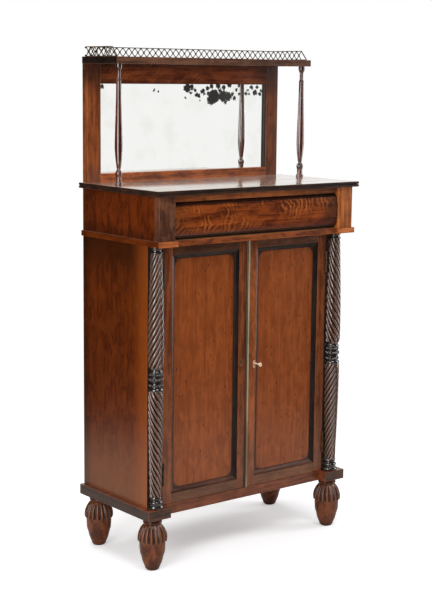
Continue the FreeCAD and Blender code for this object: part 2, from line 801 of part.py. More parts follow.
def make_drawer_front():
    """A front with a cushion face: quick curves at its edges, a long crown between them."""
    low = frieze_base + d.drawer_gap
    high = frieze_top - d.frieze_rail_height - d.drawer_gap
    edge_low = low + d.drawer_lip_height
    edge_high = high - d.drawer_lip_height
    crown_low = edge_low + d.cushion_edge_height
    crown_high = edge_high - d.cushion_edge_height
    shoulder = lip_face - d.cushion_edge_rise
    quick = lip_face + d.cushion_edge_centre
    # up the height of the front, in the plane across its length
    section = prism("drawer_front_section", "YZ_Plane", [
        (drawer_front_back, low),
        (drawer_front_back, high),
        (lip_face, high),
        (lip_face, edge_high, quick),
        (shoulder, crown_high, shoulder + d.cushion_crown_centre),
        (shoulder, crown_low, quick),
        (lip_face, edge_low),
        (lip_face, low),
    ], drawer_half * 2)
    place(section, -drawer_half, ZERO, ZERO)
    # the same quick curve returns at both ends
    turn = drawer_half - d.cushion_edge_height
    crown = shoulder - d.cushion_edge_height
    ends = prism("drawer_front_plan", "XY_Plane", [
        (-drawer_half, drawer_front_back),
        (-drawer_half, lip_face),
        (-drawer_half + d.drawer_lip_height, lip_face, -turn + d.drawer_lip_height),
        (-turn, crown),
        (turn, crown, turn - d.drawer_lip_height),
        (drawer_half - d.drawer_lip_height, lip_face),
        (drawer_half, lip_face),
        (drawer_half, drawer_front_back),
    ], high - low, low)
    shaped = common("drawer_front_shaped", section, ends)
    groove = box("drawer_front_groove", (-groove_end, groove_end),
                 (drawer_front_back - d.groove_depth, drawer_front_back),
                 (bottom_base - d.groove_slack, bottom_top + d.groove_slack))
    return keep("drawer_front", cut("drawer_front", shaped, groove))


def make_drawer_box():
    """Sides grooved for the bottom board, and a back that stands on it."""
    sides = []
    for side in (-1, 1):
        label = "drawer_side_" + side_name(side)
        board = box(label, span(side, side_inner, side_outer), (drawer_front_back, drawer_end),
                    (drawer_base, drawer_base + d.drawer_side_height))
        groove = box(label + "_groove", span(side, side_inner, groove_end),
                     (drawer_front_back, drawer_end),
                     (bottom_base - d.groove_slack, bottom_top + d.groove_slack))
        sides.append(cut(label + "_grooved", board, groove))
    keep("drawer_sides", group("drawer_sides", *sides))
    reach = groove_end - d.groove_slack
    keep("drawer_bottom", box("drawer_bottom", (-reach, reach),
                              (drawer_front_back - d.groove_depth + d.groove_slack, drawer_end),
                              (bottom_base, bottom_top)))
    keep("drawer_back", box("drawer_back", (-side_inner, side_inner),
                            (drawer_end - d.drawer_side_thickness, drawer_end),
                            (bottom_top, drawer_base + d.drawer_side_height)))


make_drawer_front()
make_drawer_box()


# ---------------------------------------------------------------- the worktop

top_half = half_width + d.top_overhang
top_front = frieze_face - d.top_overhang
shelf_half = half_width + d.shelf_overhang
shelf_front = back - d.shelf_depth
baluster_x = shelf_half - d.baluster_side_inset
baluster_y = shelf_front + d.baluster_front_inset


def round_outer_edges(body, low, high, radius):
    """Round the front and side edges at two heights of the layer that was added last."""
    doc.recompute()
    layer = body.Tip
    chosen = []
    for number, edge in enumerate(layer.Shape.Edges, start=1):
        bounds = edge.BoundBox
        flat = bounds.ZLength < TOUCHING
        at_height = min(abs(bounds.ZMin - low.number), abs(bounds.ZMin - high.number)) < TOUCHING
        outer = (abs(bounds.YMin - top_front.number) < TOUCHING
                 or abs(abs(bounds.XMin) - top_half.number) < TOUCHING)
        at_back = abs(bounds.YMin - back.number) < TOUCHING
        if flat and at_height and outer and not at_back:
            chosen.append("Edge%d" % number)
    made = body.newObject("PartDesign::Fillet", "Reed")
    made.Base = (layer, chosen)
    bind(made, "Radius", radius)
    body.Tip = made


def make_worktop():
    """Two reeds with a quirk between them run round the front and the sides."""
    reed = (d.top_thickness - d.top_quirk_height) / 2
    layers = (
        (ZERO, reed, ZERO),
        (reed, d.top_quirk_height, d.top_quirk_depth),
        (reed + d.top_quirk_height, reed, ZERO),
    )
    body = new_body("worktop")
    for number, (base, height, inset) in enumerate(layers):
        sketch = new_sketch(body, "Layer%d" % number, "XY_Plane", base)
        outline(sketch, [
            (-top_half + inset, top_front + inset),
            (top_half - inset, top_front + inset),
            (top_half - inset, back),
            (-top_half + inset, back),
        ])
        pad(body, sketch, height)
        if inset is ZERO:
            round_outer_edges(body, base, base + height, d.top_reed_round)
    sockets = new_sketch(body, "ColumnSockets", "XY_Plane", d.top_thickness)
    for x in (-baluster_x, baluster_x):
        circle(sockets, x, baluster_y, d.baluster_tenon_radius + d.running_fit)
    pocket(body, sockets, d.baluster_tenon_length + d.tenon_end_gap, along_normal=False)
    place(body, ZERO, ZERO, frieze_top)
    return keep("worktop", body)


make_worktop()


# ---------------------------------------------------------------- the upper stage

stile_inner = half_width - d.mirror_stile_width
glass_front = back - d.mirror_frame_thickness + d.mirror_setback
sight_low = worktop + d.mirror_bottom_rail_height
sight_high = shelf_base - d.mirror_top_rail_height
frame_depth = (back - d.mirror_frame_thickness, back)


def make_mirror():
    """Two stiles and two rails, rebated behind for the glass and its backboard."""
    step_x = stile_inner + d.mirror_rebate
    step_z = (sight_low - d.mirror_rebate, sight_high + d.mirror_rebate)
    behind = (glass_front, back)
    for side in (-1, 1):
        label = "mirror_stile_" + side_name(side)
        stile = box(label + "_blank", span(side, stile_inner, half_width), frame_depth,
                    (worktop, shelf_base))
        step = box(label + "_rebate", span(side, stile_inner, step_x), behind, step_z)
        keep(label, cut(label, stile, step))
    rails = (
        ("mirror_top_rail", sight_high, shelf_base, sight_high, step_z[1]),
        ("mirror_bottom_rail", worktop, sight_low, step_z[0], sight_low),
    )
    for label, low, high, step_low, step_high in rails:
        rail = box(label + "_blank", (-stile_inner, stile_inner), frame_depth, (low, high))
        step = box(label + "_rebate", (-stile_inner, stile_inner), behind, (step_low, step_high))
        keep(label, cut(label, rail, step))
    reach = step_x - d.groove_slack
    height = (step_z[0] + d.groove_slack, step_z[1] - d.groove_slack)
    glass_back = glass_front + d.mirror_thickness
    keep("mirror_plate", box("mirror_plate", (-reach, reach), (glass_front, glass_back), height))
    keep("mirror_backboard", box("mirror_backboard", (-reach, reach),
                                 (glass_back, glass_back + d.backboard_thickness), height))


def make_baluster(side):
    """The slim turned column that carries the front of the shelf, with a tenon at each end."""
    label = "shelf_column_" + side_name(side)
    thin = d.baluster_end_radius
    cup = d.baluster_cup_radius
    ring = d.baluster_ring_radius
    step = d.baluster_step
    base = d.baluster_base_height
    ring_low = d.baluster_ring_height
    ring_high = ring_low + step * 2
    cup_low = d.upper_height - d.baluster_cup_height
    column = turned(label, [
        (ZERO, -d.baluster_tenon_length),
        (d.baluster_tenon_radius, -d.baluster_tenon_length),
        (d.baluster_tenon_radius, ZERO),
        (d.baluster_foot_radius, ZERO),
        (d.baluster_foot_radius, d.baluster_pad_height),
        (cup - step, d.baluster_pad_height + step * 2),
        (cup - step, d.baluster_bead_low, cup - step * 3),
        (cup - step, d.baluster_bead_high),
        (thin + step / 3, base, -d.baluster_belly_centre),
        (d.baluster_radius, d.baluster_belly_height, -d.baluster_taper_centre),
        (ring - step / 2, ring_low),
        (ring, ring_low),
        (ring, ring_high),
        (thin, ring_high),
        (thin, cup_low, cup - d.baluster_cup_height),
        (cup, d.upper_height - d.baluster_rim_height),
        (cup - step / 2, d.upper_height),
        (d.baluster_tenon_radius, d.upper_height),
        (d.baluster_tenon_radius, d.upper_height + d.baluster_tenon_length),
        (ZERO, d.upper_height + d.baluster_tenon_length),
    ])
    place(column, baluster_x * side, baluster_y, worktop)
    return keep(label, column)


def make_top_shelf():
    body = prism("top_shelf", "XY_Plane", [
        (-shelf_half, shelf_front),
        (shelf_half, shelf_front),
        (shelf_half, back),
        (-shelf_half, back),
    ], d.shelf_thickness)
    sockets = new_sketch(body, "ColumnSockets", "XY_Plane")
    for x in (-baluster_x, baluster_x):
        circle(sockets, x, baluster_y, d.baluster_tenon_radius + d.running_fit)
    pocket(body, sockets, d.baluster_tenon_length + d.tenon_end_gap, along_normal=True)
    place(body, ZERO, ZERO, shelf_base)
    return keep("top_shelf", body)


make_mirror()
for side in (-1, 1):
    make_baluster(side)
make_top_shelf()


# ---------------------------------------------------------------- the gallery


def pierced_run(label, length, cells, rake):
    """A pierced strip along X: crossing bars between two rails, with a raked end if asked."""
    body = prism(label, "XZ_Plane", [
        (ZERO, ZERO),
        (length + rake, ZERO),
        (length, d.gallery_height),
        (ZERO, d.gallery_height),
    ], d.gallery_thickness)
    cell = (length - d.gallery_rail) / cells
    low = d.gallery_rail
    high = d.gallery_height - d.gallery_rail
    middle = d.gallery_height / 2
    bar = d.gallery_bar
    start = d.gallery_rail / 2
    centre = start + cell / 2
    holes = new_sketch(body, "Openings", "XZ_Plane")
    # above and below each crossing
    for tip, base in ((middle - bar, low), (middle + bar, high)):
        outline(holes, [
            (start + bar, base),
            (start + cell - bar, base),
            (centre, tip),
        ])
    first = pocket(body, holes, d.gallery_thickness, along_normal=True)
    repeat = body.newObject("PartDesign::LinearPattern", "Cells")
    repeat.Originals = [first]
    repeat.Direction = (holes, ["H_Axis"])
    repeat.Occurrences = int(cells.number)
    bind(repeat, "Length", cell * (cells - 1))
    body.Tip = repeat
    # between neighbouring crossings
    diamond = new_sketch(body, "Diamond", "XZ_Plane")
    left = centre + bar
    outline(diamond, [
        (left, middle),
        (centre + cell / 2, low + bar / 2),
        (centre + cell - bar, middle),
        (centre + cell / 2, high - bar / 2),
    ])
    second = pocket(body, diamond, d.gallery_thickness, along_normal=True)
    repeat = body.newObject("PartDesign::LinearPattern", "Diamonds")
    repeat.Originals = [second]
    repeat.Direction = (diamond, ["H_Axis"])
    repeat.Occurrences = int(cells.number) - 1
    bind(repeat, "Length", cell * (cells - 2))
    body.Tip = repeat
    return body


def make_gallery():
    """A run along the back and one along each side, standing on the shelf."""
    reach = shelf_half - d.gallery_inset
    rear = back - d.gallery_inset
    side_rear = rear - d.gallery_thickness
    side_length = side_rear - shelf_front - d.gallery_front_setback
    run = pierced_run("gallery_back_run", reach * 2, d.gallery_back_cells, ZERO)
    place(run, -reach, rear, shelf_top)
    runs = [run]
    for side in (-1, 1):
        label = "gallery_run_" + side_name(side)
        run = pierced_run(label, side_length, d.gallery_side_cells, d.gallery_rake)
        run.Placement.Rotation = FreeCAD.Rotation(FreeCAD.Vector(0, 0, 1), -90)
        place(run, reach * side + (d.gallery_thickness if side < 0 else ZERO), side_rear, shelf_top)
        runs.append(run)
    return keep("gallery", group("gallery", *runs))


make_gallery()


# ---------------------------------------------------------------- the doors

door_outer = opening - d.door_gap
right_edge = -d.meeting_offset + d.meeting_lap
left_edge = -d.meeting_offset - d.meeting_gap
frame_edge = d.frame_flat + d.frame_moulding
rail_edge = d.rail_flat + d.frame_moulding
panel_x = (d.sight_edge, door_outer - frame_edge)
panel_z = (door_base + rail_edge, door_top - rail_edge)

# how a frame member lies: its length, its width towards the panel and its face
RISING_LEFT = FreeCAD.Rotation(
    FreeCAD.Vector(0, 0, -1), FreeCAD.Vector(1, 0, 0), FreeCAD.Vector(0, -1, 0), "XYZ")
RISING_RIGHT = FreeCAD.Rotation(
    FreeCAD.Vector(0, 0, 1), FreeCAD.Vector(-1, 0, 0), FreeCAD.Vector(0, -1, 0), "XYZ")
ALONG_BOTTOM = FreeCAD.Rotation(
    FreeCAD.Vector(1, 0, 0), FreeCAD.Vector(0, 0, 1), FreeCAD.Vector(0, -1, 0), "XYZ")
ALONG_TOP = FreeCAD.Rotation(
    FreeCAD.Vector(-1, 0, 0), FreeCAD.Vector(0, 0, -1), FreeCAD.Vector(0, -1, 0), "XYZ")


def frame_member(label, length, flat, setback, turn, x, z):
    """A stile or rail, its inner edge moulded, mitred at the ends and grooved for the panel."""
    edge = flat + d.frame_moulding
    body = prism(label, "XY_Plane", [
        (ZERO, ZERO),
        (length, ZERO),
        (length, flat),
        (length - setback, flat),
        (length - setback - d.frame_moulding, edge),
        (setback + d.frame_moulding, edge),
        (setback, flat),
        (ZERO, flat),
    ] if setback is not ZERO else [
        (ZERO, ZERO),
        (length, ZERO),
        (length, flat),
        (length - d.frame_moulding, edge),
        (d.frame_moulding, edge),
        (ZERO, flat),
    ], d.door_thickness)
    hollow = new_sketch(body, "Moulding", "YZ_Plane")
    floor = d.door_thickness - d.frame_moulding_depth
    outline(hollow, [
        (flat, d.door_thickness + d.door_gap),
        (flat, d.door_thickness - d.frame_quirk, flat - d.frame_moulding_centre),
        (edge - d.frame_quirk, floor),
        (edge + d.door_gap, floor),
        (edge + d.door_gap, d.door_thickness + d.door_gap),
    ])
    pocket(body, hollow, length, along_normal=True)
    slot = new_sketch(body, "PanelGroove", "YZ_Plane")
    slot_top = floor - d.frame_quirk / 2
    outline(slot, [
        (edge - d.panel_groove, slot_top - d.panel_thickness),
        (edge + d.door_gap, slot_top - d.panel_thickness),
        (edge + d.door_gap, slot_top),
        (edge - d.panel_groove, slot_top),
    ])
    pocket(body, slot, length, along_normal=True)
    body.Placement.Rotation = turn
    place(body, x, face + d.door_thickness, z)
    return body


def make_door(side):
    """Two stiles, two rails between them and a flat panel held in their grooves."""
    name = side_name(side) + "_door"
    inner = left_edge if side < 0 else right_edge
    height = door_top - door_base
    meeting_width = d.sight_edge - inner * side
    meeting_flat = meeting_width - d.frame_moulding
    hinge_corner = door_outer * side
    left_is_hinge = side < 0
    hinge_stile = frame_member(
        name + "_hinge_stile_blank", height, d.frame_flat, d.rail_flat,
        RISING_LEFT if left_is_hinge else RISING_RIGHT, hinge_corner,
        door_top if left_is_hinge else door_base)
    beds = [leaf_recess("%s_bed_%d" % (name, number), side, door_outer - d.hinge_leaf_thickness,
                        opening, level)
            for number, level in enumerate(hinge_levels)]
    keep(name + "_hinge_stile", cut(name + "_hinge_stile", hinge_stile, *beds))
    meeting_stile = frame_member(
        name + "_meeting_stile_blank", height, meeting_flat, d.rail_flat,
        RISING_RIGHT if left_is_hinge else RISING_LEFT, inner,
        door_base if left_is_hinge else door_top)
    keyhole = keyhole_tool(name + "_keyhole", side, face - d.door_gap,
                           face + d.door_thickness + d.door_gap)
    tools = [keyhole]
    if side < 0:
        tools.append(plate_shape(name + "_liner_bed", side, face - d.door_gap,
                                 face + d.liner_depth, d.running_fit))
    keep(name + "_meeting_stile", cut(name + "_meeting_stile", meeting_stile, *tools))
    # the rails run between the flats of the two stiles
    if left_is_hinge:
        low_x, high_x = -door_outer + d.frame_flat, inner - meeting_flat
    else:
        low_x, high_x = inner + meeting_flat, door_outer - d.frame_flat
    bottom = frame_member(name + "_bottom_rail", high_x - low_x, d.rail_flat, ZERO,
                          ALONG_BOTTOM, low_x, door_base)
    top = frame_member(name + "_top_rail", high_x - low_x, d.rail_flat, ZERO,
                       ALONG_TOP, high_x, door_top)
    keep(name + "_rails", group(name + "_rails", bottom, top))
    reach = d.panel_groove - d.groove_slack * 2
    panel_front = face + d.frame_moulding_depth + d.frame_quirk / 2 + d.groove_slack / 2
    x_low = (panel_x[0] if side > 0 else -panel_x[1]) - reach
    x_high = (panel_x[1] if side > 0 else -panel_x[0]) + reach
    keep(name + "_panel", box(name + "_panel", (x_low, x_high),
                              (panel_front, panel_front + d.panel_thickness - d.groove_slack),
                              (panel_z[0] - reach, panel_z[1] + reach)))


def keyhole_place(side):
    """Where a keyhole is: its x and its level."""
    if side > 0:
        return right_edge + d.lock_from_edge, plinth_top + d.lock_height
    return left_edge - d.liner_from_edge, plinth_top + d.liner_height_up


def keyhole_tool(label, side, front, rear):
    """A round hole with a slot below it."""
    x, level = keyhole_place(side)
    half = d.keyhole_slot / 2
    hole = rod(label + "_round", d.keyhole_radius, rear - front, x, front, level, BACKWARD)
    slot = box(label + "_slot", (x - half, x + half), (front, rear), (level - d.keyhole_drop, level))
    return fuse(label, hole, slot)


def plate_shape(label, side, front, rear, grow):
    """A tall plate with round ends, set so that the keyhole is at its middle."""
    x, level = keyhole_place(side)
    tall = d.plate_height if side > 0 else d.liner_height
    wide = d.plate_width if side > 0 else d.liner_width
    radius = wide / 2 + grow
    middle = level + (d.keyhole_radius - d.keyhole_drop) / 2
    half = tall / 2 - wide / 2
    ends = [rod("%s_end_%d" % (label, number), radius, rear - front, x, front, z, BACKWARD)
            for number, z in enumerate((middle - half, middle + half))]
    middle_part = box(label + "_middle", (x - radius, x + radius), (front, rear),
                      (middle - half, middle + half))
    return fuse(label, middle_part, *ends)


make_door(-1)
make_door(1)


def make_keyhole_plates():
    """A liner let into the left door, and a plate that stands on the right one."""
    liner = plate_shape("left_keyhole_blank", -1, face, face + d.liner_depth, ZERO)
    hole = keyhole_tool("left_keyhole_hole", -1, face - d.door_gap,
                        face + d.liner_depth + d.door_gap)
    keep("left_keyhole", cut("left_keyhole", liner, hole))
    plate = plate_shape("right_keyhole_blank", 1, face - d.plate_proud, face, ZERO)
    hole = keyhole_tool("right_keyhole_hole", 1, face - d.plate_proud - d.door_gap,
                        face + d.door_gap)
    keep("right_keyhole", cut("right_keyhole", plate, hole))


def make_meeting_strip():
    """A reeded brass strip on the edge of the right door."""
    reed = (d.strip_width - d.strip_edge) / STRIP_REEDS
    start = -d.meeting_offset + d.strip_edge / 2
    front = face - d.strip_thickness
    valley = face - d.strip_valley
    reeds = []
    for number in range(STRIP_REEDS):
        low = start + reed * number
        reeds.append((low, low + reed))
    corners = [(-d.meeting_offset, face), (-d.meeting_offset + d.strip_width, face)]
    corners.append((-d.meeting_offset + d.strip_width, face - d.strip_edge))
    for low, high in reversed(reeds):
        corners.append((high, valley))
        corners.append((high - d.strip_slope, front))
        corners.append((low + d.strip_slope, front))
    corners.append((start, valley))
    corners.append((-d.meeting_offset, face - d.strip_edge))
    strip = prism("meeting_strip", "XY_Plane", corners, door_top - door_base)
    place(strip, ZERO, ZERO, door_base)
    return keep("meeting_strip", strip)


make_keyhole_plates()
make_meeting_strip()


# ---------------------------------------------------------------- hinges


def hinge_leaf(label, side, level, fixed):
    """A leaf with its knuckles: every other one, the end ones on the post's leaf."""
    base = level - d.hinge_length / 2
    knuckle = d.hinge_length / KNUCKLES
    gap = d.running_fit
    near, far = ((opening, opening + d.hinge_leaf_thickness) if fixed
                 else (door_outer - d.hinge_leaf_thickness, door_outer))
    parts = [box(label + "_plate", span(side, near, far),
                 (face + d.groove_slack, face + d.hinge_leaf_depth), (base, base + d.hinge_length))]
    for number in range(KNUCKLES):
        if (number % 2 == 0) != fixed:
            continue
        low = base + knuckle * number + gap
        high = base + knuckle * (number + 1) - gap
        parts.append(rod("%s_knuckle_%d" % (label, number), d.hinge_barrel_radius, high - low,
                         hinge_x * side, hinge_y, low))
        parts.append(box("%s_tab_%d" % (label, number), span(side, near, far),
                         (hinge_y, face + d.hinge_leaf_depth), (low, high)))
    bore = rod(label + "_bore", d.hinge_pin_radius + d.running_fit, d.hinge_length * 2,
               hinge_x * side, hinge_y, base - d.hinge_length / 2)
    return cut(label, fuse(label + "_blank", *parts), bore)


def make_hinges():
    fixed = []
    pins = []
    for side in (-1, 1):
        moving = []
        for number, level in enumerate(hinge_levels):
            name = "%s_hinge_%d" % (side_name(side), number)
            fixed.append(hinge_leaf(name + "_post_leaf", side, level, True))
            moving.append(hinge_leaf(name + "_door_leaf", side, level, False))
            pins.append(rod(name + "_pin", d.hinge_pin_radius, d.hinge_length + d.door_gap,
                            hinge_x * side, hinge_y, level - (d.hinge_length + d.door_gap) / 2))
        label = side_name(side) + "_door_hinge_leaves"
        keep(label, group(label, *moving))
    keep("post_hinge_leaves", group("post_hinge_leaves", *fixed))
    keep("hinge_pins", group("hinge_pins", *pins))


make_hinges()


# ---------------------------------------------------------------- lock and key

key_x, key_level = keyhole_place(1)
lock_front = face + d.door_thickness
lock_back = lock_front + d.lock_depth
bolt_low = key_level + d.lock_bolt_rise
bolt_middle = (lock_front + lock_back) / 2
lock_left = right_edge + d.lock_inset
lock_bolt_y = (bolt_middle - d.lock_bolt_thickness / 2, bolt_middle + d.lock_bolt_thickness / 2)


def make_lock():
    """A box lock on the inside of the right door; its bolt slides left behind the other door."""
    half = d.lock_case_height / 2
    wall = d.lock_wall
    shell = box("lock_shell", (lock_left, lock_left + d.lock_length), (lock_front, lock_back),
                (key_level - half, key_level + half))
    inside = box("lock_inside", (lock_left + wall, lock_left + d.lock_length - wall),
                 (lock_front + wall, lock_back - wall),
                 (key_level - half + wall, key_level + half - wall))
    slot = box("lock_bolt_slot", (lock_left - wall, lock_left + wall * 2),
               (lock_bolt_y[0] - d.lock_bolt_gap, lock_bolt_y[1] + d.lock_bolt_gap),
               (bolt_low - d.lock_bolt_gap, bolt_low + d.lock_bolt_height + d.lock_bolt_gap))
    hole = keyhole_tool("lock_keyhole", 1, lock_front - wall, lock_front + wall * 2)
    keep("lock_case", cut("lock_case", shell, inside, slot, hole))
    keep("lock_bolt", box("lock_bolt", (lock_left + d.lock_bolt_gap,
                                        lock_left + d.lock_bolt_gap + d.lock_bolt_length),
                          lock_bolt_y, (bolt_low, bolt_low + d.lock_bolt_height)))


def make_key():
    """A key as it is put in: stem, bit pointing down inside the lock, upright ring for a bow."""
    tip = lock_back - d.lock_wall - d.lock_bolt_gap
    stem_start = face - d.key_stem_out
    stem = rod("key_stem", d.key_stem_radius, tip - stem_start, key_x, stem_start, key_level,
               BACKWARD)
    collar = rod("key_collar", d.key_collar_radius, d.key_collar_length, key_x,
                 stem_start - d.key_collar_length / 2, key_level, BACKWARD)
    half = d.key_bit_thickness / 2
    bit = box("key_bit", (key_x - half, key_x + half),
              (tip - d.key_bit_width - d.lock_bolt_gap, tip - d.lock_bolt_gap),
              (key_level - d.key_bit_reach, key_level))
    bow = doc.addObject("Part::Torus", "key_bow")
    bow.Placement.Rotation = SIDEWAYS
    bind(bow, "Radius1", d.key_bow_radius)
    bind(bow, "Radius2", d.key_bow_wire)
    place(bow, key_x, stem_start - d.key_bow_radius, key_level)
    return keep("key", fuse("key", stem, collar, bit, bow))


make_lock()
make_key()


# ---------------------------------------------------------------- bolts of the left door


def make_door_bolt(label, rises):
    """A rod held by two lugs on a plate; it shoots up or down past the edge of the door."""
    away = 1 if rises else -1
    edge = door_top if rises else door_base
    tip = edge - d.bolt_recess * away
    tail = tip - d.bolt_length * away
    low, high = (tail, tip) if rises else (tip, tail)
    shaft = rod(label + "_rod", d.bolt_radius, high - low, bolt_x, bolt_y, low)
    knob = rod(label + "_knob", d.bolt_knob_radius, d.bolt_knob_length, bolt_x, bolt_y,
               tail + d.bolt_knob_rise * away, BACKWARD)
    keep(label, fuse(label, shaft, knob))
    plate_edge = edge - d.bolt_lug_thickness * away
    plate_far = plate_edge - d.bolt_plate_length * away
    plate_low, plate_high = (plate_far, plate_edge) if rises else (plate_edge, plate_far)
    width = (bolt_x - d.bolt_plate_width / 2, bolt_x + d.bolt_plate_width / 2)
    rear = face + d.door_thickness
    plate = box(label + "_plate", width, (rear, rear + d.bolt_plate_thickness),
                (plate_low, plate_high))
    lug_end = bolt_y + d.bolt_radius + d.bolt_lug_wall
    lugs = [box("%s_lug_%d" % (label, number), width, (rear, lug_end), (z, z + d.bolt_lug_thickness))
            for number, z in enumerate((plate_low, plate_high - d.bolt_lug_thickness))]
    bore = rod(label + "_bore", d.bolt_radius + d.running_fit, d.bolt_plate_length * 2,
               bolt_x, bolt_y, plate_low - d.bolt_plate_length / 2)
    return cut(label + "_holder", fuse(label + "_holder_blank", plate, *lugs), bore)


holders = [make_door_bolt("top_bolt", True), make_door_bolt("bottom_bolt", False)]
keep("bolt_plates", group("bolt_plates", *holders))


# ---------------------------------------------------------------- check and write

doc.recompute()
for item in doc.Objects:
    for state in ("Invalid", "Error"):
        if state in item.State:
            raise RuntimeError("%s is %s" % (item.Label, state))
for piece in pieces:
    if piece.Shape.isNull() or not piece.Shape.isValid() or not piece.Shape.Solids:
        raise RuntimeError("%s has no sound solid" % piece.Label)

os.makedirs("parts", exist_ok=True)
for piece in pieces:
    piece.Shape.exportStep("parts/%s.step" % piece.Label)
    bounds = piece.Shape.BoundBox
    print("%-28s %d solid(s) %9.1f cm3  z %7.1f to %7.1f" % (
        piece.Label, len(piece.Shape.Solids), piece.Shape.Volume / 1000, bounds.ZMin, bounds.ZMax))
print(len(pieces), "sub-parts")
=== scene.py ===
# %% [markdown]
# # A Regency chiffonier
# The construction is already settled: every board, hinge and bolt comes in as a frame that is never
# moved. This lesson gives that frame its looks. Flat boards become copies with eased, slightly worn
# edges, the turned and carved pieces are modelled again with their carving, and every surface gets its
# own wood, brass or glass.

# %% Open the frame
import json
from math import atan2, cos, pi, radians, sin

import bmesh
import bpy
from mathutils import Matrix, Vector


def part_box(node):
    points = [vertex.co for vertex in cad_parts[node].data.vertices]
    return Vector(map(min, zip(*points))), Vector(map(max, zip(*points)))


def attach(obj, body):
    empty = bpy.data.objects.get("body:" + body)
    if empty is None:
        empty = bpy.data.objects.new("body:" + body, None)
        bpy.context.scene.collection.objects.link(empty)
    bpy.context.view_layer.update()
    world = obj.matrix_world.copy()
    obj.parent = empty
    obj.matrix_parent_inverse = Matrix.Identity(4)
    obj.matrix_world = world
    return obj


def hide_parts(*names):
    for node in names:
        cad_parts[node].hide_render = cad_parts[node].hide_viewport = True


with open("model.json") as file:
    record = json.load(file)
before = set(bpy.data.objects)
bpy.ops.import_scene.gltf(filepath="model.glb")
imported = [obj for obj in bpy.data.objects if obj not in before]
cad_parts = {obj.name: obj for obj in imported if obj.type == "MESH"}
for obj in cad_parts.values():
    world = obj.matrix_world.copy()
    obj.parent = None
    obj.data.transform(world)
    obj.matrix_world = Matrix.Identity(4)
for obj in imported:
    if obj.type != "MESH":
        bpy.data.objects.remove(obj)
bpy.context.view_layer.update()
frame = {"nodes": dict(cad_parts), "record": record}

MM = 0.001
body_of_node = {node: body for body, nodes in frame["record"]["behaviour"]["bodies"].items()
                for node in nodes}

# %% [markdown]
# ## The camera
# A long lens stands about four metres off, a little to the left of the piece and above its worktop, so
# upright lines stay nearly upright. Its place is in metres; its direction is a turn to the right, a tilt
# downward and a slight roll, applied one after the other to a camera that first looks straight down. A
# camera could also track an empty object, but that would hold it level, and this one leans a little.

# %% Camera
CAMERA_PLACE = Vector((-2.4458, -3.0473, 1.3132))
TURN_RIGHT = radians(38.57)
TILT_DOWN = radians(9.11)
ROLL = radians(0.61)
camera_data = bpy.data.cameras.new("camera")
camera_data.lens = 83.82
camera_data.sensor_width = 36.0
camera = bpy.data.objects.new("camera", camera_data)
bpy.context.scene.collection.objects.link(camera)
upright = Matrix.Rotation(pi / 2 - TILT_DOWN, 4, "X")
camera.matrix_world = (Matrix.Translation(CAMERA_PLACE) @ Matrix.Rotation(-TURN_RIGHT, 4, "Z")
                       @ upright @ Matrix.Rotation(ROLL, 4, "Z"))
bpy.context.scene.camera = camera
bpy.context.scene.view_settings.view_transform = "Standard"
print("camera at", tuple(round(value, 3) for value in CAMERA_PLACE), "lens", camera_data.lens)

# %% [markdown]
# ## Building materials out of nodes
# Every finish below is a small network of shader nodes. It could be drawn by hand in the shader editor,
# but a function draws the same network again for every board. Two helpers keep that readable: one adds a
# node and fills its sockets in one line, the other turns a colour as a screen shows it (0 to 255) into the
# linear numbers that a shader works with.

# %% Helpers for shader nodes
def tint(red, green, blue):
    """A screen colour, 0 to 255, as the linear colour of a shader."""
    parts = []
    for value in (red, green, blue):
        share = value / 255
        parts.append(share / 12.92 if share <= 0.04045 else ((share + 0.055) / 1.055) ** 2.4)
    return (*parts, 1.0)


def add(tree, kind, sockets=(), **options):
    """Add a shader node; a socket's value is a number, a colour or another node's output."""
    node = tree.nodes.new("ShaderNode" + kind)
    for option, value in options.items():
        setattr(node, option, value)
    for socket, value in dict(sockets).items():
        connect(tree, node.inputs[socket], value)
    return node


def connect(tree, socket, value):
    if isinstance(value, bpy.types.NodeSocket):
        tree.links.new(value, socket)
    else:
        socket.default_value = value


def new_finish(name, **shader_values):
    """A material with its tree and its main shader; underscores in the names stand for spaces."""
    material = bpy.data.materials.new(name)
    material.use_nodes = True
    shader = material.node_tree.nodes["Principled BSDF"]
    for socket, value in shader_values.items():
        shader.inputs[socket.replace("_", " ")].default_value = value
    return material, material.node_tree, shader


print("helpers ready, for example tint(128, 64, 32) =", tuple(round(v, 3) for v in tint(128, 64, 32)))

# %% [markdown]
# ## The studio
# The camera and the looking glass see plain white all round. Polished wood is treated differently: a room
# that is white on every side would lay a grey veil over every board, so glossy surfaces that are not
# quite mirrors see a dark studio with one bright patch, low behind the piece on the right, where the
# worktop picks it up. The patch is round: it is brightest where a ray points straight along BRIGHT_SIDE.
# Polish that is seen in the looking glass has been reflected twice, and sees white again. A ray that
# leaves the set counts one step more than its reflections, so twice reflected is a depth of three.

# %% World
WORLD_LIGHT = 0.3
DARK_STUDIO = 0.03
BRIGHT_SIDE = Vector((0.62, 0.78, 0.06))
BRIGHT_FROM, BRIGHT_TO = 0.86, 0.96
TWICE_FROM, TWICE_TO = 2.2, 2.8
world = bpy.data.worlds.new("studio")
bpy.context.scene.world = world
world.use_nodes = True
tree = world.node_tree
tree.nodes.clear()
path = add(tree, "LightPath")


def seen_directly(tree, path):
    """1 for rays of the camera, of clear glass and of a perfect mirror."""
    clear = math(tree, "MAXIMUM", path.outputs["Is Camera Ray"], path.outputs["Is Transmission Ray"])
    return math(tree, "MAXIMUM", clear, path.outputs["Is Singular Ray"])


def ramp(tree, value, none_at, full_at):
    """0 on one side of none_at, 1 on the other side of full_at and smooth between them."""
    return add(tree, "MapRange", {"Value": value, "From Min": none_at, "From Max": full_at},
               interpolation_type="SMOOTHSTEP").outputs[0]


def math(tree, operation, first, second=0.0):
    return add(tree, "Math", {0: first, 1: second}, operation=operation).outputs[0]


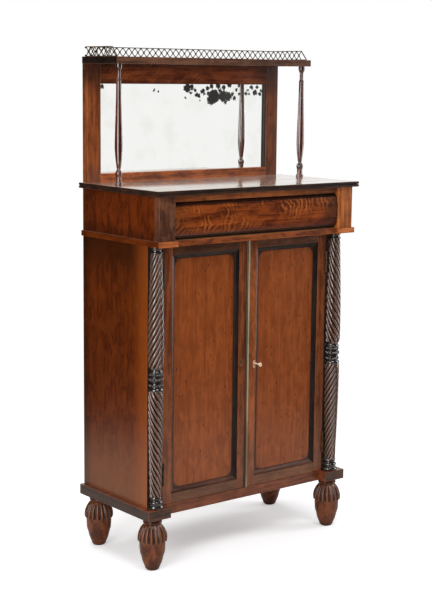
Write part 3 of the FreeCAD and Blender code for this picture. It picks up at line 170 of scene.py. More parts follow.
def between(tree, share, first, second):
    """A number between two others."""
    return add(tree, "Mix", {0: share, 2: first, 3: second}, data_type="FLOAT").outputs[0]


def vector_math(tree, operation, first, second=(0, 0, 0)):
    """A sum with vectors; a length and a dot product come out as a number."""
    node = add(tree, "VectorMath", {0: first, 1: second}, operation=operation)
    return node.outputs["Value" if operation in ("LENGTH", "DOT_PRODUCT") else "Vector"]


way = vector_math(tree, "DOT_PRODUCT", add(tree, "TexCoord").outputs["Generated"], BRIGHT_SIDE)
room = between(tree, ramp(tree, way, BRIGHT_FROM, BRIGHT_TO), DARK_STUDIO, 1.0)
polish_sees = between(tree, path.outputs["Is Glossy Ray"], WORLD_LIGHT, room)
deep = ramp(tree, path.outputs["Ray Depth"], TWICE_FROM, TWICE_TO)
twice = math(tree, "MULTIPLY", deep, path.outputs["Is Glossy Ray"])
strength = between(tree, math(tree, "MAXIMUM", seen_directly(tree, path), twice), polish_sees, 1.0)
background = add(tree, "Background", {"Color": (1, 1, 1, 1), "Strength": strength})
add(tree, "OutputWorld", {"Surface": background.outputs[0]})
print("world light", WORLD_LIGHT, "and", DARK_STUDIO, "where polish looks into the dark")

# %% [markdown]
# The floor is a wide pale sheet. Close to the piece it is an ordinary matt surface, so it takes a soft
# shadow; further off it fades to plain white, which hides where the sheet ends. A little of the white is
# mixed in from the start, because a lit studio floor is brighter than any lamp in this small set makes
# it. Polished wood sees only a greyer patch round the feet, which gives its lower parts a slight sheen.
# A backdrop that curves up behind the piece would hide the sheet's end from the camera, but not from the
# looking glass, which faces the other way.

# %% Floor
FLOOR_SIZE = 30.0
FLOOR_NEAR = 0.9
FLOOR_FAR = 2.2
FLOOR_GLOW = 0.35
LIT_PATCH = 1.45
LIT_PATCH_FADE = 0.3
PAPER = tint(246, 246, 247)
PATCH_COLOUR = tint(204, 198, 192)
UNLIT_COLOUR = tint(40, 40, 40)


def mixed(tree, share, first, second):
    """A colour between two others."""
    return add(tree, "Mix", {0: share, 6: first, 7: second}, data_type="RGBA").outputs[2]


def own_place(tree):
    """Where a point of the surface lies, in the object's own coordinates and in metres."""
    return add(tree, "TexCoord").outputs["Object"]


floor_bm = bmesh.new()
bmesh.ops.create_grid(floor_bm, x_segments=1, y_segments=1, size=FLOOR_SIZE / 2)
floor_mesh = bpy.data.meshes.new("floor")
floor_bm.to_mesh(floor_mesh)
floor_bm.free()
floor = bpy.data.objects.new("floor", floor_mesh)
bpy.context.scene.collection.objects.link(floor)
floor_finish, tree, shader = new_finish("paper_sweep", Base_Color=PAPER, Roughness=0.9,
                                        Specular_IOR_Level=0.0)
path = add(tree, "LightPath")
seen = seen_directly(tree, path)
distance = vector_math(tree, "LENGTH", own_place(tree))
unlit = ramp(tree, distance, LIT_PATCH, LIT_PATCH + LIT_PATCH_FADE)
patch = mixed(tree, unlit, PATCH_COLOUR, UNLIT_COLOUR)
connect(tree, shader.inputs["Base Color"], mixed(tree, path.outputs["Is Glossy Ray"], PAPER, patch))
glow = add(tree, "Emission", {"Color": (1, 1, 1, 1), "Strength": math(tree, "MULTIPLY", seen, FLOOR_GLOW)})
lit = add(tree, "AddShader", {0: shader.outputs[0], 1: glow.outputs[0]})
white_share = math(tree, "MULTIPLY", ramp(tree, distance, FLOOR_NEAR, FLOOR_FAR), seen)
white = add(tree, "Emission", {"Color": (1, 1, 1, 1), "Strength": 1.0})
blend = add(tree, "MixShader", {0: white_share, 1: lit.outputs[0], 2: white.outputs[0]})
connect(tree, tree.nodes["Material Output"].inputs["Surface"], blend.outputs[0])
floor_mesh.materials.append(floor_finish)
print("floor", FLOOR_SIZE, "m wide, white beyond", FLOOR_FAR, "m")

# %% [markdown]
# Two broad softboxes stand out on the left and the right. Each ridge of the twisted columns picks them up
# as a bright line, and it is the width of a lamp that makes such a line wide enough to see. Flat upright
# boards mirror only what stands opposite the camera, and nothing stands there: so the boards keep their
# colour and the carving gets its lights. A lamp high in front lights the doors, and a very wide one
# overhead, a little behind, lets a pale shadow fall forward on the floor.

# %% Softboxes
AIM = Vector((0.0, 0.0, 0.75))


def softbox(name, azimuth, distance, height, width, tall, power):
    """A rectangular lamp at an angle round the piece, measured from its front toward its right."""
    lamp = bpy.data.lights.new(name, "AREA")
    lamp.shape = "RECTANGLE"
    lamp.size = width
    lamp.size_y = tall
    lamp.energy = power
    box = bpy.data.objects.new(name, lamp)
    bpy.context.scene.collection.objects.link(box)
    place = Vector((sin(radians(azimuth)) * distance, -cos(radians(azimuth)) * distance, height))
    turn = (AIM - place).to_track_quat("-Z", "Y").to_matrix().to_4x4()
    box.matrix_world = Matrix.Translation(place) @ turn


softbox("softbox_left", azimuth=-64, distance=2.6, height=1.2, width=1.0, tall=2.4, power=48)
softbox("softbox_right", azimuth=67, distance=2.8, height=1.2, width=0.8, tall=2.4, power=36)
softbox("softbox_front", azimuth=-12, distance=2.1, height=3.0, width=1.4, tall=1.0, power=27)
softbox("softbox_above", azimuth=178, distance=0.8, height=3.0, width=2.2, tall=2.0, power=38)
print("four softboxes aimed at", tuple(AIM))

# %% [markdown]
# ## Wood
# Mahogany is not one brown. Broad clouds of tone lie under fine streaks that follow the grain, and small
# dark flecks sit on top. The pattern is read from the object's own coordinates and squeezed along the
# grain, so the streaks run the length of each board; every board starts at its own place in the pattern,
# because no two boards are cut from the same spot. Pictures of veneer could be laid on the boards
# instead, but every board would have to be unwrapped for them, and a picture repeats.

# %% Wood finish
GRAIN_STRETCH = 0.05
MOTTLE_STRETCH = 0.45
STREAK_SCALE, MOTTLE_SCALE, FIBRE_SCALE, FLECK_SCALE = 110.0, 42.0, 480.0, 95.0
FIBRE_SHARE = 0.4
FLECK_SHARE = 0.6
FLECK_EDGE, FLECK_CORE = 0.26, 0.12
USUAL_STREAKS = 0.55
USUAL_FLECKS = 0.12
GRAIN_BUMP = 0.12
GRAIN_DEPTH = 0.3 * MM
AXES = "XYZ"
# Near black: dark flecks and wax in the wood, and also painted shade under the shelf and under overhangs.
SOOT_AND_SHADE = tint(24, 15, 11)


def squeezed(tree, axis, stretch, seed):
    """Object coordinates, squeezed along one axis and shifted to a board's own place in the pattern."""
    scale = [1.0, 1.0, 1.0]
    scale[AXES.index(axis)] = stretch
    shift = (seed * 1.37 % 7.0, seed * 2.11 % 7.0, seed * 0.73 % 7.0)
    return add(tree, "Mapping", {"Vector": own_place(tree), "Scale": scale, "Location": shift}).outputs[0]


def noise(tree, vector, scale, detail=3.0, roughness=0.5, distortion=0.0):
    return add(tree, "TexNoise", {"Vector": vector, "Scale": scale, "Detail": detail,
                                  "Roughness": roughness, "Distortion": distortion}).outputs[0]


def wood_colour(tree, axis, seed, dark, light, streaky=USUAL_STREAKS, flecked=USUAL_FLECKS):
    """Colour and bump height of polished mahogany: how streaky it is, and how many dark flecks it has."""
    along = squeezed(tree, axis, GRAIN_STRETCH, seed)
    across = squeezed(tree, axis, MOTTLE_STRETCH, seed)
    streaks = noise(tree, along, STREAK_SCALE, detail=4.0, roughness=0.62, distortion=0.3)
    mottle = noise(tree, across, MOTTLE_SCALE, detail=4.0, roughness=0.6, distortion=0.8)
    fibres = noise(tree, along, FIBRE_SCALE, detail=2.0)
    tone = between(tree, streaky, mottle, streaks)
    colour = mixed(tree, ramp(tree, tone, 0.38, 0.62), dark, light)
    colour = mixed(tree, math(tree, "MULTIPLY", ramp(tree, fibres, 0.5, 0.72), FIBRE_SHARE), colour, dark)
    flecks = add(tree, "TexVoronoi", {"Vector": across, "Scale": FLECK_SCALE, "Randomness": 1.0})
    near = ramp(tree, flecks.outputs["Distance"], FLECK_EDGE, FLECK_CORE)
    chance = add(tree, "SeparateColor", {0: flecks.outputs["Color"]}).outputs[0]
    rare = ramp(tree, chance, 1 - flecked, 1.02 - flecked)
    fleck = math(tree, "MULTIPLY", math(tree, "MULTIPLY", near, rare), FLECK_SHARE)
    return mixed(tree, fleck, colour, SOOT_AND_SHADE), fibres


def shaded(tree, colour, shades):
    """Mix in other colours toward one side: (axis, full at, none at, share, colour), places in metres."""
    if not shades:
        return colour
    place = add(tree, "SeparateXYZ", {0: own_place(tree)})
    for axis, full_at, none_at, share, other in shades:
        strength = math(tree, "MULTIPLY", ramp(tree, place.outputs[axis], none_at, full_at), share)
        colour = mixed(tree, strength, colour, other)
    return colour


def bump(tree, shader, height, strength=GRAIN_BUMP, depth=GRAIN_DEPTH):
    """Raise and lower the surface a little; left alone, by as much as the grain of polished wood."""
    relief = add(tree, "Bump", {"Height": height, "Strength": strength, "Distance": depth})
    connect(tree, shader.inputs["Normal"], relief.outputs[0])


def wood(name, axis, seed, dark, light, polish=0.25, gloss=0.5, shades=(), streaky=USUAL_STREAKS,
         flecked=USUAL_FLECKS):
    """A polished wood; polish is the roughness and gloss the strength of its reflections."""
    material, tree, shader = new_finish(name, Specular_IOR_Level=gloss, Roughness=polish)
    colour, fibres = wood_colour(tree, axis, seed, dark, light, streaky, flecked)
    connect(tree, shader.inputs["Base Color"], shaded(tree, colour, shades))
    bump(tree, shader, fibres)
    return material


print("wood finish ready")

# %% [markdown]
# ## From frame to board
# A flat board needs little: a copy of its mesh whose edges are eased by half a millimetre or so, as a
# cabinet maker's plane and two centuries of hands leave them. The copy's triangles are welded together
# and merged back into whole faces first, because a bevel follows edges and loose triangles share none.
# A bevel modifier would ease them too, but the operator hands back the narrow faces that it makes, and
# these get a finish of their own, a little lighter, where polish has worn through.

# %% Eased copies
WELD = 0.01 * MM
SHARP = radians(32)
FLAT = radians(0.5)
WORN_FACES = 1


def welded_copy(node):
    """The mesh of a CAD node as a bmesh, its loose triangles joined into whole faces."""
    bm = bmesh.new()
    bm.from_mesh(frame["nodes"][node].data)
    bmesh.ops.remove_doubles(bm, verts=bm.verts, dist=WELD)
    bmesh.ops.dissolve_limit(bm, angle_limit=FLAT, verts=bm.verts, edges=bm.edges)
    return bm


def ease_edges(bm, width):
    """Bevel every sharp edge and give the new narrow faces their own material number."""
    sharp = [edge for edge in bm.edges if len(edge.link_faces) == 2 and edge.calc_face_angle(0.0) > SHARP]
    made = bmesh.ops.bevel(bm, geom=sharp, offset=width, offset_type="OFFSET", segments=2, profile=0.5,
                           affect="EDGES", clamp_overlap=True, material=-1)
    for face in made["faces"]:
        face.material_index = WORN_FACES


def make_piece(name, bm, body, finishes, replaced=()):
    """Turn a finished bmesh into an object that rides on its body and stands for its nodes."""
    for edge in bm.edges:
        edge.smooth = len(edge.link_faces) == 2 and edge.calc_face_angle(0.0) < SHARP
    for face in bm.faces:
        face.smooth = True
    mesh = bpy.data.meshes.new(name)
    bm.to_mesh(mesh)
    bm.free()
    for finish in finishes:
        mesh.materials.append(finish)
    piece = bpy.data.objects.new(name, mesh)
    bpy.context.scene.collection.objects.link(piece)
    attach(piece, body)
    if replaced:
        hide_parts(*replaced)
    return piece


def keep_flats_flat(piece):
    """Let broad faces decide the shading, so that a narrow bevel does not make the board look pillowed."""
    weighting = piece.modifiers.new("flat_shading", "WEIGHTED_NORMAL")
    weighting.keep_sharp = True


print("eased copies ready")

# %% [markdown]
# Each board gets a tone of its own, from nearly black under the shelf to a light orange on the mouldings, and
# some are darker or lighter toward one end. Part of that is painted light: painted shade under the shelf and
# under overhangs, and a painted sheen low down on the side boards and doors. The first table holds the tones,
# the dark and the light of each; the last one says along which axis a board changes, where fully, from where,
# by how much and toward which colour. A material could be made by hand for each board, but tables keep
# neighbours side by side.

# %% Tones of the show wood
TONES = {
    "side": (tint(72, 26, 2), tint(94, 40, 6)),
    "frieze_side": (tint(72, 25, 2), tint(98, 40, 7)),
    "die_left": (tint(64, 36, 24), tint(102, 62, 42)),
    "die_right": (tint(118, 60, 24), tint(178, 102, 48)),
    "rail": (tint(100, 50, 20), tint(160, 88, 42)),
    "moulding": (tint(76, 33, 12), tint(138, 71, 33)),
    "block": (tint(120, 62, 26), tint(186, 106, 54)),
    "left_door_hinge_stile": (tint(90, 43, 18), tint(138, 73, 36)),
    "left_door_meeting_stile": (tint(82, 38, 15), tint(126, 66, 32)),
    "left_door_rails": (tint(62, 36, 22), tint(98, 60, 38)),
    "right_door_hinge_stile": (tint(84, 41, 18), tint(126, 68, 35)),
    "right_door_meeting_stile": (tint(98, 48, 20), tint(148, 80, 39)),
    "right_door_rails": (tint(76, 42, 24), tint(118, 71, 44)),
    "plinth": (tint(80, 38, 20), tint(120, 62, 34)),
    "plinth_side": (tint(33, 19, 13), tint(61, 37, 28)),
    "plinth_block": (tint(42, 26, 17), tint(78, 49, 33)),
    "top": (tint(124, 92, 72), tint(176, 144, 120)),
    "mirror_frame": (tint(94, 46, 20), tint(142, 76, 38)),
    "mirror_rail": (tint(82, 33, 14), tint(136, 68, 32)),
    "mirror_low_rail": (tint(100, 46, 16), tint(180, 94, 42)),
    "shelf": (tint(64, 40, 28), tint(104, 70, 52)),
    "ebonised": (tint(20, 14, 12), tint(40, 28, 22)),
}
WEAR_LIGHTENS = 1.7
STREAKY = {"side": 0.3, "frieze_side": 0.25, "die_left": 0.2, "plinth_block": 0.2, "top": 0.3}
DEEP_BROWN = tint(32, 12, 3)
WORN = {tone: tuple(min(1.0, part * WEAR_LIGHTENS) for part in light[:3]) + (1.0,)
        for tone, (dark, light) in TONES.items()}
# Side boards: painted shade at the top under the frieze, a painted sheen low down that stands for the floor's
# reflection, and darker toward the back; the left board is also lighter orange toward the front.
SIDE_SHADES = [("Z", 0.877, 0.72, 0.65, DEEP_BROWN), ("Z", 0.17, 0.42, 0.35, tint(136, 80, 40)),
               ("Y", 0.18, 0.13, 0.55, DEEP_BROWN)]
BOARD_SHADES = {
    "side_left": SIDE_SHADES + [("Y", -0.12, -0.04, 0.45, tint(150, 74, 20))],
    "side_right": SIDE_SHADES,
    "frieze_side_left": [("Z", 0.9, 0.93, 0.35, DEEP_BROWN), ("Y", 0.16, 0.1, 0.35, DEEP_BROWN)],
    "frieze_top_rail": [("X", 0.28, 0.02, 0.6, tint(70, 34, 18))],
    # Painted shade under the shelf at the top of the mirror stiles; the right stile also darkens toward its
    # outer edge.
    "mirror_stile_left": [("Z", 1.33, 1.25, 0.75, SOOT_AND_SHADE)],
    "mirror_stile_right": [("Z", 1.344, 1.25, 0.7, SOOT_AND_SHADE), ("X", 0.3, 0.2, 0.4, DEEP_BROWN)],
    "mirror_bottom_rail": [("X", 0.26, 0.1, 0.3, SOOT_AND_SHADE)],
}
print(len(TONES), "tones,", len(BOARD_SHADES), "boards that change toward one end")

# %% [markdown]
# The cutting list names each board with its tone and the direction of its grain: upright on stiles and
# side boards, lengthwise on rails. Some faces differ from the rest of their board, such as the black front
# edges of the side boards and the paler ends of the front moulding. They could be picked by their numbers,
# but those change with every bevel, so where a face lies and how it is turned picks it out.

# %% Show boards
SHOW_BOARDS = [
    ("side_left", "side", "Z"), ("side_right", "side", "Z"),
    ("post_left", "ebonised", "Z"), ("post_right", "ebonised", "Z"),
    ("plinth_board", "plinth", "X"),
    ("frieze_die_left", "die_left", "Z"), ("frieze_die_right", "die_right", "Z"),
    ("frieze_side_left", "frieze_side", "Z"), ("frieze_side_right", "frieze_side", "Z"),
    ("frieze_top_rail", "rail", "X"),
    ("moulding_front", "moulding", "X"), ("moulding_left", "side", "Y"), ("moulding_right", "side", "Y"),
    ("mirror_stile_left", "mirror_frame", "Z"), ("mirror_stile_right", "mirror_frame", "Z"),
    ("mirror_bottom_rail", "mirror_low_rail", "X"), ("top_shelf", "shelf", "X"),
]
EDGE = 0.7 * MM
ebonised = wood("ebonised", "Z", 90, *TONES["ebonised"], polish=0.35, gloss=0.2)
face_finish = {
    "plinth_side": wood("plinth_side_wood", "Y", 21, *TONES["plinth_side"]),
    "plinth_block": wood("plinth_block_wood", "X", 22, *TONES["plinth_block"]),
    "moulding_block": wood("moulding_block_wood", "X", 23, *TONES["block"]),
}
FACING = 0.9
PLINTH_END = 0.3
MIRROR_MIDDLE = 1.2
EDGEWISE = 0.1
die_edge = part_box("frieze_die_right")[0].x
mirror_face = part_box("mirror_stile_left")[0].y
door_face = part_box("left_door_hinge_stile")[0].y


def special_finish(node, face):
    """The finish of a face that differs from the rest of its board, or None."""
    centre = face.calc_center_median()
    turned = face.normal
    if node in ("side_left", "side_right") and turned.y < -FACING:
        return ebonised
    if node == "plinth_board" and abs(turned.x) > FACING and abs(centre.x) > PLINTH_END:
        return face_finish["plinth_side"]
    if node == "plinth_board" and abs(centre.x) > die_edge - EDGE and centre.y < door_face:
        return face_finish["plinth_block"]
    if node == "moulding_front" and abs(centre.x) > die_edge:
        return face_finish["moulding_block"]
    if node == "top_shelf" and abs(turned.x) > FACING:
        return ebonised
    if node.startswith("mirror_") and abs(turned.y) < EDGEWISE and centre.y > mirror_face + MM:
        inner = turned.x * centre.x < 0 or turned.z < -FACING and centre.z > MIRROR_MIDDLE
        return ebonised if inner else None
    return None


for seed, (node, tone, axis) in enumerate(SHOW_BOARDS, start=1):
    dark, light = TONES[tone]
    shades = BOARD_SHADES.get(node, ())
    bm = welded_copy(node)
    ease_edges(bm, EDGE)
    streaky = STREAKY.get(tone, USUAL_STREAKS)
    finishes = [wood(node + "_wood", axis, seed, dark, light, shades=shades, streaky=streaky),
                wood(node + "_worn_edge", axis, seed, light, WORN[tone], shades=shades)]
    for face in bm.faces:
        special = special_finish(node, face)
        if special is None or face.material_index == WORN_FACES:
            continue
        if special not in finishes:
            finishes.append(special)
        face.material_index = finishes.index(special)
    keep_flats_flat(make_piece("eased_" + node, bm, body_of_node[node], finishes, [node]))
print(len(SHOW_BOARDS), "show boards eased by", round(EDGE / MM, 2), "mm")

# %% [markdown]
# ## The doors
# Each door is two stiles and two rails round a flat panel. The inner edge of the frame is a hollow moulding,
# and dark wax has gathered there for two hundred years, so the faces of the hollow are picked out by how far
# they lie behind the front and get a near black finish. Faces of the hollow that turn up or right are painted
# a lighter brown, and those that turn down a dark brown: painted light, set by which way each face turns. The
# wax could be painted on by hand; sorting the faces does it alike on both doors.

# %% Door frames
HOLLOW_FRONT = 0.4 * MM
HOLLOW_BACK = 9.5 * MM
# Wax colours painted lighter where a hollow face turns up or right, and a dark brown where it turns down:
# painted light.
wax_lit_facing_up = wood("wax_lit_facing_up", "X", 91, tint(52, 30, 22), tint(92, 56, 40), polish=0.35, gloss=0.3)
wax_lit_facing_down = wood("wax_lit_facing_down", "X", 92, tint(30, 24, 19), tint(54, 44, 36), polish=0.4, gloss=0.15)
TURNED_TO_LIGHT = 0.2
RIGHT_DOOR_SEEDS = 10
DOOR_PARTS = (("hinge_stile", "Z"), ("meeting_stile", "Z"), ("rails", "X"))
# Door stiles and rails: painted shade at the top, under the frieze moulding, and a painted sheen low down
# that stands for the floor's reflection.
DOOR_SHADES = {
    "hinge_stile": [("Z", 0.876, 0.84, 0.25, SOOT_AND_SHADE), ("Z", 0.2, 0.36, 0.25, tint(128, 84, 60))],
    "meeting_stile": [("Z", 0.876, 0.83, 0.35, SOOT_AND_SHADE), ("Z", 0.2, 0.36, 0.15, tint(128, 84, 60))],
    "rails": [("Z", 0.8, 0.3, 0.35, tint(52, 32, 20)), ("Z", 0.17, 0.3, 0.25, tint(110, 70, 46))],
}


def darken_hollows(bm):
    """Finishes of the moulded inner edge: 3 facing up or right and 4 facing down, both painted light, 2
    (black) for the rest.
    """
    for face in bm.faces:
        depth = face.calc_center_median().y - door_face
        if HOLLOW_FRONT < depth < HOLLOW_BACK:
            # Painted light: faces turned up or right get the lighter wax colour.
            lit_face = face.normal.z > TURNED_TO_LIGHT or face.normal.x > TURNED_TO_LIGHT
            face.material_index = 3 if lit_face else 4 if face.normal.z < -TURNED_TO_LIGHT else 2


for side in ("left", "right"):
    for seed, (part, axis) in enumerate(DOOR_PARTS, start=30):
        node = side + "_door_" + part
        dark, light = TONES[node]
        bm = welded_copy(node)
        ease_edges(bm, EDGE)
        darken_hollows(bm)
        number = seed + (RIGHT_DOOR_SEEDS if side == "right" else 0)
        finishes = [wood(node + "_wood", axis, number, dark, light, shades=DOOR_SHADES[part]),
                    wood(node + "_worn_edge", axis, number, light, WORN[node]), ebonised, wax_lit_facing_up,
                    wax_lit_facing_down]
        keep_flats_flat(make_piece("eased_" + node, bm, side + "_door", finishes, [node]))
print("door frames with dark hollows")

# %% [markdown]
# The panels are the best veneer on the doors: orange-brown, with upright figure and a scatter of dark
# flecks. In each corner the old wax has rounded off the square. A rounded rectangle, worked out from the
# distance to the panel's middle, says where a corner begins: outside it the colour sinks to dark brown.
# Small fillets could be modelled in the corners, but wax changes the colour far more than the shape, so
# the panel keeps the mesh of the frame and only its finish is new.

# %% Door panels
CORNER_ROUND = 32 * MM
SIGHT_LAP = 6.5 * MM
WAX_BLUR = 5 * MM
WAX_SHARE = 0.85
PANEL_TONES = (tint(112, 52, 15), tint(136, 68, 26))


def corner_mask(tree, low, high, rounding, blur):
    """1 in the corners of an upright rectangle, 0 inside a rounded rectangle of the same size."""
    middle = (low + high) / 2
    half = (high - low) / 2
    offset = vector_math(tree, "SUBTRACT", own_place(tree), middle)
    folded = vector_math(tree, "ABSOLUTE", offset)
    reach = Vector((half.x - rounding, 1.0, half.z - rounding))
    past = vector_math(tree, "MAXIMUM", vector_math(tree, "SUBTRACT", folded, reach))
    return ramp(tree, vector_math(tree, "LENGTH", past), rounding - blur, rounding + blur)


def panel_finish(node, seed):
    low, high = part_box(node)
    lap = Vector((SIGHT_LAP, 0, SIGHT_LAP))
    material, tree, shader = new_finish(node + "_veneer", Specular_IOR_Level=0.5, Roughness=0.25)
    colour, fibres = wood_colour(tree, "Z", seed, *PANEL_TONES, streaky=0.45, flecked=0.28)
    wax = corner_mask(tree, low + lap, high - lap, CORNER_ROUND, WAX_BLUR)
    crumbs = ramp(tree, noise(tree, squeezed(tree, "Z", stretch=1.0, seed=seed), scale=60.0), 0.1, 0.5)
    ragged_wax = math(tree, "MULTIPLY", wax, crumbs)
    colour = mixed(tree, math(tree, "MULTIPLY", ragged_wax, WAX_SHARE), colour, tint(40, 24, 16))
    connect(tree, shader.inputs["Base Color"], colour)
    bump(tree, shader, fibres)
    return material


def refinish(node, finish):
    """Give a node of the frame a new finish and leave its mesh alone."""
    for material_slot in frame["nodes"][node].material_slots:
        material_slot.material = finish


for seed, side in enumerate(("left", "right"), start=50):
    node = side + "_door_panel"
    refinish(node, panel_finish(node, seed))
print("panel corners rounded by", CORNER_ROUND / MM, "mm of wax")

# %% [markdown]
# ## The drawer front
# A cushion of curled mahogany: bright crescents stand side by side on a dark ground. Bands that repeat
# along the drawer are bent into crescents by adding the square of the height above the middle, and made
# uneven by a noise; a slower noise decides where on the front they show at all. Crescents could be
# painted on a picture one by one, but bands from a sum stay sharp at any size. The same bands, leaning,
# give the rail over the looking glass its slanting figure. The cushion's shape is the frame's own.

# %% Drawer front
CURL_SPACING = 17 * MM
CURL_BEND = 9.0
WOBBLE = 0.08
FLAME_SHARE = 0.48
FIGURE_STRETCH = 0.8


def figured_finish(name, seed, middle, dark, light, flame, lean=0.0, shades=()):
    """Veneer with crescents, or with slanting bands where lean says how far they slant."""
    material, tree, shader = new_finish(name, Specular_IOR_Level=0.5, Roughness=0.22)
    ground, fibres = wood_colour(tree, "X", seed, dark, light)
    place = add(tree, "SeparateXYZ", {0: own_place(tree)})
    height = math(tree, "SUBTRACT", place.outputs["Z"], middle.z)
    if lean:
        bend = math(tree, "MULTIPLY", height, lean)
    else:
        bend = math(tree, "MULTIPLY", math(tree, "MULTIPLY", height, height), CURL_BEND)
    uneven = noise(tree, squeezed(tree, "X", FIGURE_STRETCH, seed), scale=20.0, detail=4.0, roughness=0.55)
    wobble = math(tree, "MULTIPLY", uneven, WOBBLE)
    along = math(tree, "ADD", math(tree, "ADD", place.outputs["X"], wobble), bend)
    phase = math(tree, "FRACT", math(tree, "MULTIPLY", along, 1 / CURL_SPACING))
    off_crest = math(tree, "ABSOLUTE", math(tree, "SUBTRACT", phase, 0.5))
    crest = ramp(tree, off_crest, 0.34, 0.0)
    slower = noise(tree, squeezed(tree, "X", FIGURE_STRETCH, seed + 1), scale=15.0)
    where = ramp(tree, slower, 0.44, 0.7)
    share = math(tree, "MULTIPLY", math(tree, "MULTIPLY", crest, where), FLAME_SHARE)
    colour = shaded(tree, mixed(tree, share, ground, flame), shades)
    connect(tree, shader.inputs["Base Color"], colour)
    bump(tree, shader, fibres)
    return material


drawer_low, drawer_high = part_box("drawer_front")
# Darker toward both ends; painted shade in the quirks above and below the cushion and on its lower curve,
# which turns down.
DRAWER_SHADES = [
    ("X", -0.287, -0.2, 0.5, tint(72, 36, 16)), ("X", 0.287, 0.2, 0.75, tint(44, 25, 12)),
    ("Z", 0.907, 0.925, 0.5, tint(72, 34, 26)), ("Z", 0.9, 0.909, 0.85, SOOT_AND_SHADE), ("Z", 0.984, 0.976, 0.9, SOOT_AND_SHADE),
]
bm = welded_copy("drawer_front")
crotch = figured_finish("curled_veneer", 61, (drawer_low + drawer_high) / 2, tint(72, 26, 6),
                        tint(134, 62, 20), tint(204, 116, 50), shades=DRAWER_SHADES)
make_piece("cushion_drawer_front", bm, "drawer", [crotch], ["drawer_front"])

rail_low, rail_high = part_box("mirror_top_rail")
# Painted shade under the shelf along the top of the rail; the rail is also darker toward both ends.
RAIL_SHADES = [("Z", 1.344, 1.316, 0.6, SOOT_AND_SHADE), ("X", -0.3, -0.2, 0.5, DEEP_BROWN),
               ("X", 0.3, 0.2, 0.6, DEEP_BROWN)]
bm = welded_copy("mirror_top_rail")
ease_edges(bm, EDGE)
slanting = figured_finish("slanting_veneer", 64, (rail_low + rail_high) / 2, *TONES["mirror_rail"],
                          tint(196, 116, 56), lean=-1.2, shades=RAIL_SHADES)
keep_flats_flat(make_piece("eased_mirror_top_rail", bm, "carcass", [slanting, ebonised],
                           ["mirror_top_rail"]))
print("drawer front and mirror rail figured, curls every", round(CURL_SPACING / MM), "mm")

# %% [markdown]
# ## The worktop
# Two reeds run round its edge, black with wax. The top itself is faded and carries a clear coat of
# polish, which has gone dull in places: seen from this low it mirrors whatever stands on it, softly. A
# smoother surface alone would mirror too, but under a coat the faded wood can stay duller than its polish.

# %% Worktop
FADED_SHARE = 0.5
BRIGHT_ROUGHNESS, DULL_ROUGHNESS = 0.2, 0.45
worktop_finish, tree, shader = new_finish("worktop_wood", Specular_IOR_Level=0.5, Coat_Weight=1.0,
                                          Coat_Roughness=0.11, Coat_IOR=1.45)
colour, fibres = wood_colour(tree, "X", 71, *TONES["top"])
cloudy = noise(tree, squeezed(tree, "X", stretch=0.3, seed=73), scale=14.0, roughness=0.6)
dull = ramp(tree, cloudy, 0.34, 0.66)
colour = mixed(tree, math(tree, "MULTIPLY", dull, FADED_SHARE), colour, tint(196, 168, 136))
connect(tree, shader.inputs["Base Color"], colour)
connect(tree, shader.inputs["Roughness"], between(tree, dull, BRIGHT_ROUGHNESS, DULL_ROUGHNESS))
edge_finish = wood("worktop_reeds", "X", 72, tint(26, 16, 11), tint(62, 38, 25), polish=0.3, gloss=0.35)
top_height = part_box("worktop")[1].z
bm = welded_copy("worktop")
for face in bm.faces:
    on_top = face.normal.z > FACING and face.calc_center_median().z > top_height - MM
    face.material_index = 0 if on_top else 1
make_piece("reeded_worktop", bm, "carcass", [worktop_finish, edge_finish], ["worktop"])
print("worktop at", round(top_height, 4), "m")

# %% [markdown]
# ## Turning
# A turned piece is its half outline spun about an upright axis. An outline is a short list of radii and
# heights; where a run between two of them is a bead or a hollow, a third number says how far it bulges
# out or in, and a sine curve fills in the points between. A curve with a Screw modifier would turn as
# well; spinning a few vertices leaves a plain mesh that the carving can then be worked into.

# %% Helpers for turned pieces
ROUND_POINTS = 6


def filled_outline(corners):
    """Points of an outline; a corner is (radius, height) or (radius, height, bulge to the next)."""
    points = []
    for corner, following in zip(corners, corners[1:] + corners[-1:]):
        start = Vector((corner[0], corner[1]))
        points.append(start)
        if len(corner) == 2:
            continue
        run = Vector((following[0], following[1])) - start
        outward = Vector((abs(run.y), -run.x if run.y > 0 else run.x)).normalized()
        for number in range(1, ROUND_POINTS):
            share = number / ROUND_POINTS
            points.append(start + run * share + outward * corner[2] * sin(pi * share))
    return points


def spin_outline(bm, axis_x, axis_y, corners, steps):
    """Spin an outline, in millimetres, about the upright line through (axis_x, axis_y)."""
    points = [bm.verts.new((axis_x + point.x * MM, axis_y, point.y * MM))
              for point in filled_outline(corners)]
    runs = [bm.edges.new(pair) for pair in zip(points, points[1:])]
    bmesh.ops.spin(bm, geom=points + runs, cent=(axis_x, axis_y, 0), axis=(0, 0, 1), dvec=(0, 0, 0),
                   angle=2 * pi, steps=steps, use_merge=True)
    bmesh.ops.remove_doubles(bm, verts=bm.verts, dist=WELD)
    bmesh.ops.recalc_face_normals(bm, faces=bm.faces)


def middle_of(node):
    low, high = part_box(node)
    return (low + high) / 2


print("turning helpers ready")

# %% [markdown]
# ## The feet
# Each foot is an acorn: a plain tapering body, and over it a cap carved into lobes. The cap is spun
# smooth first. Then the points of the cap are drawn in toward the axis between the lobes, most at its
# widest place and hardly at the neck, and the lower lip is lifted there too, which scallops it. Separate
# lobes set round a core would meet in seams; this way the foot stays one closed surface.

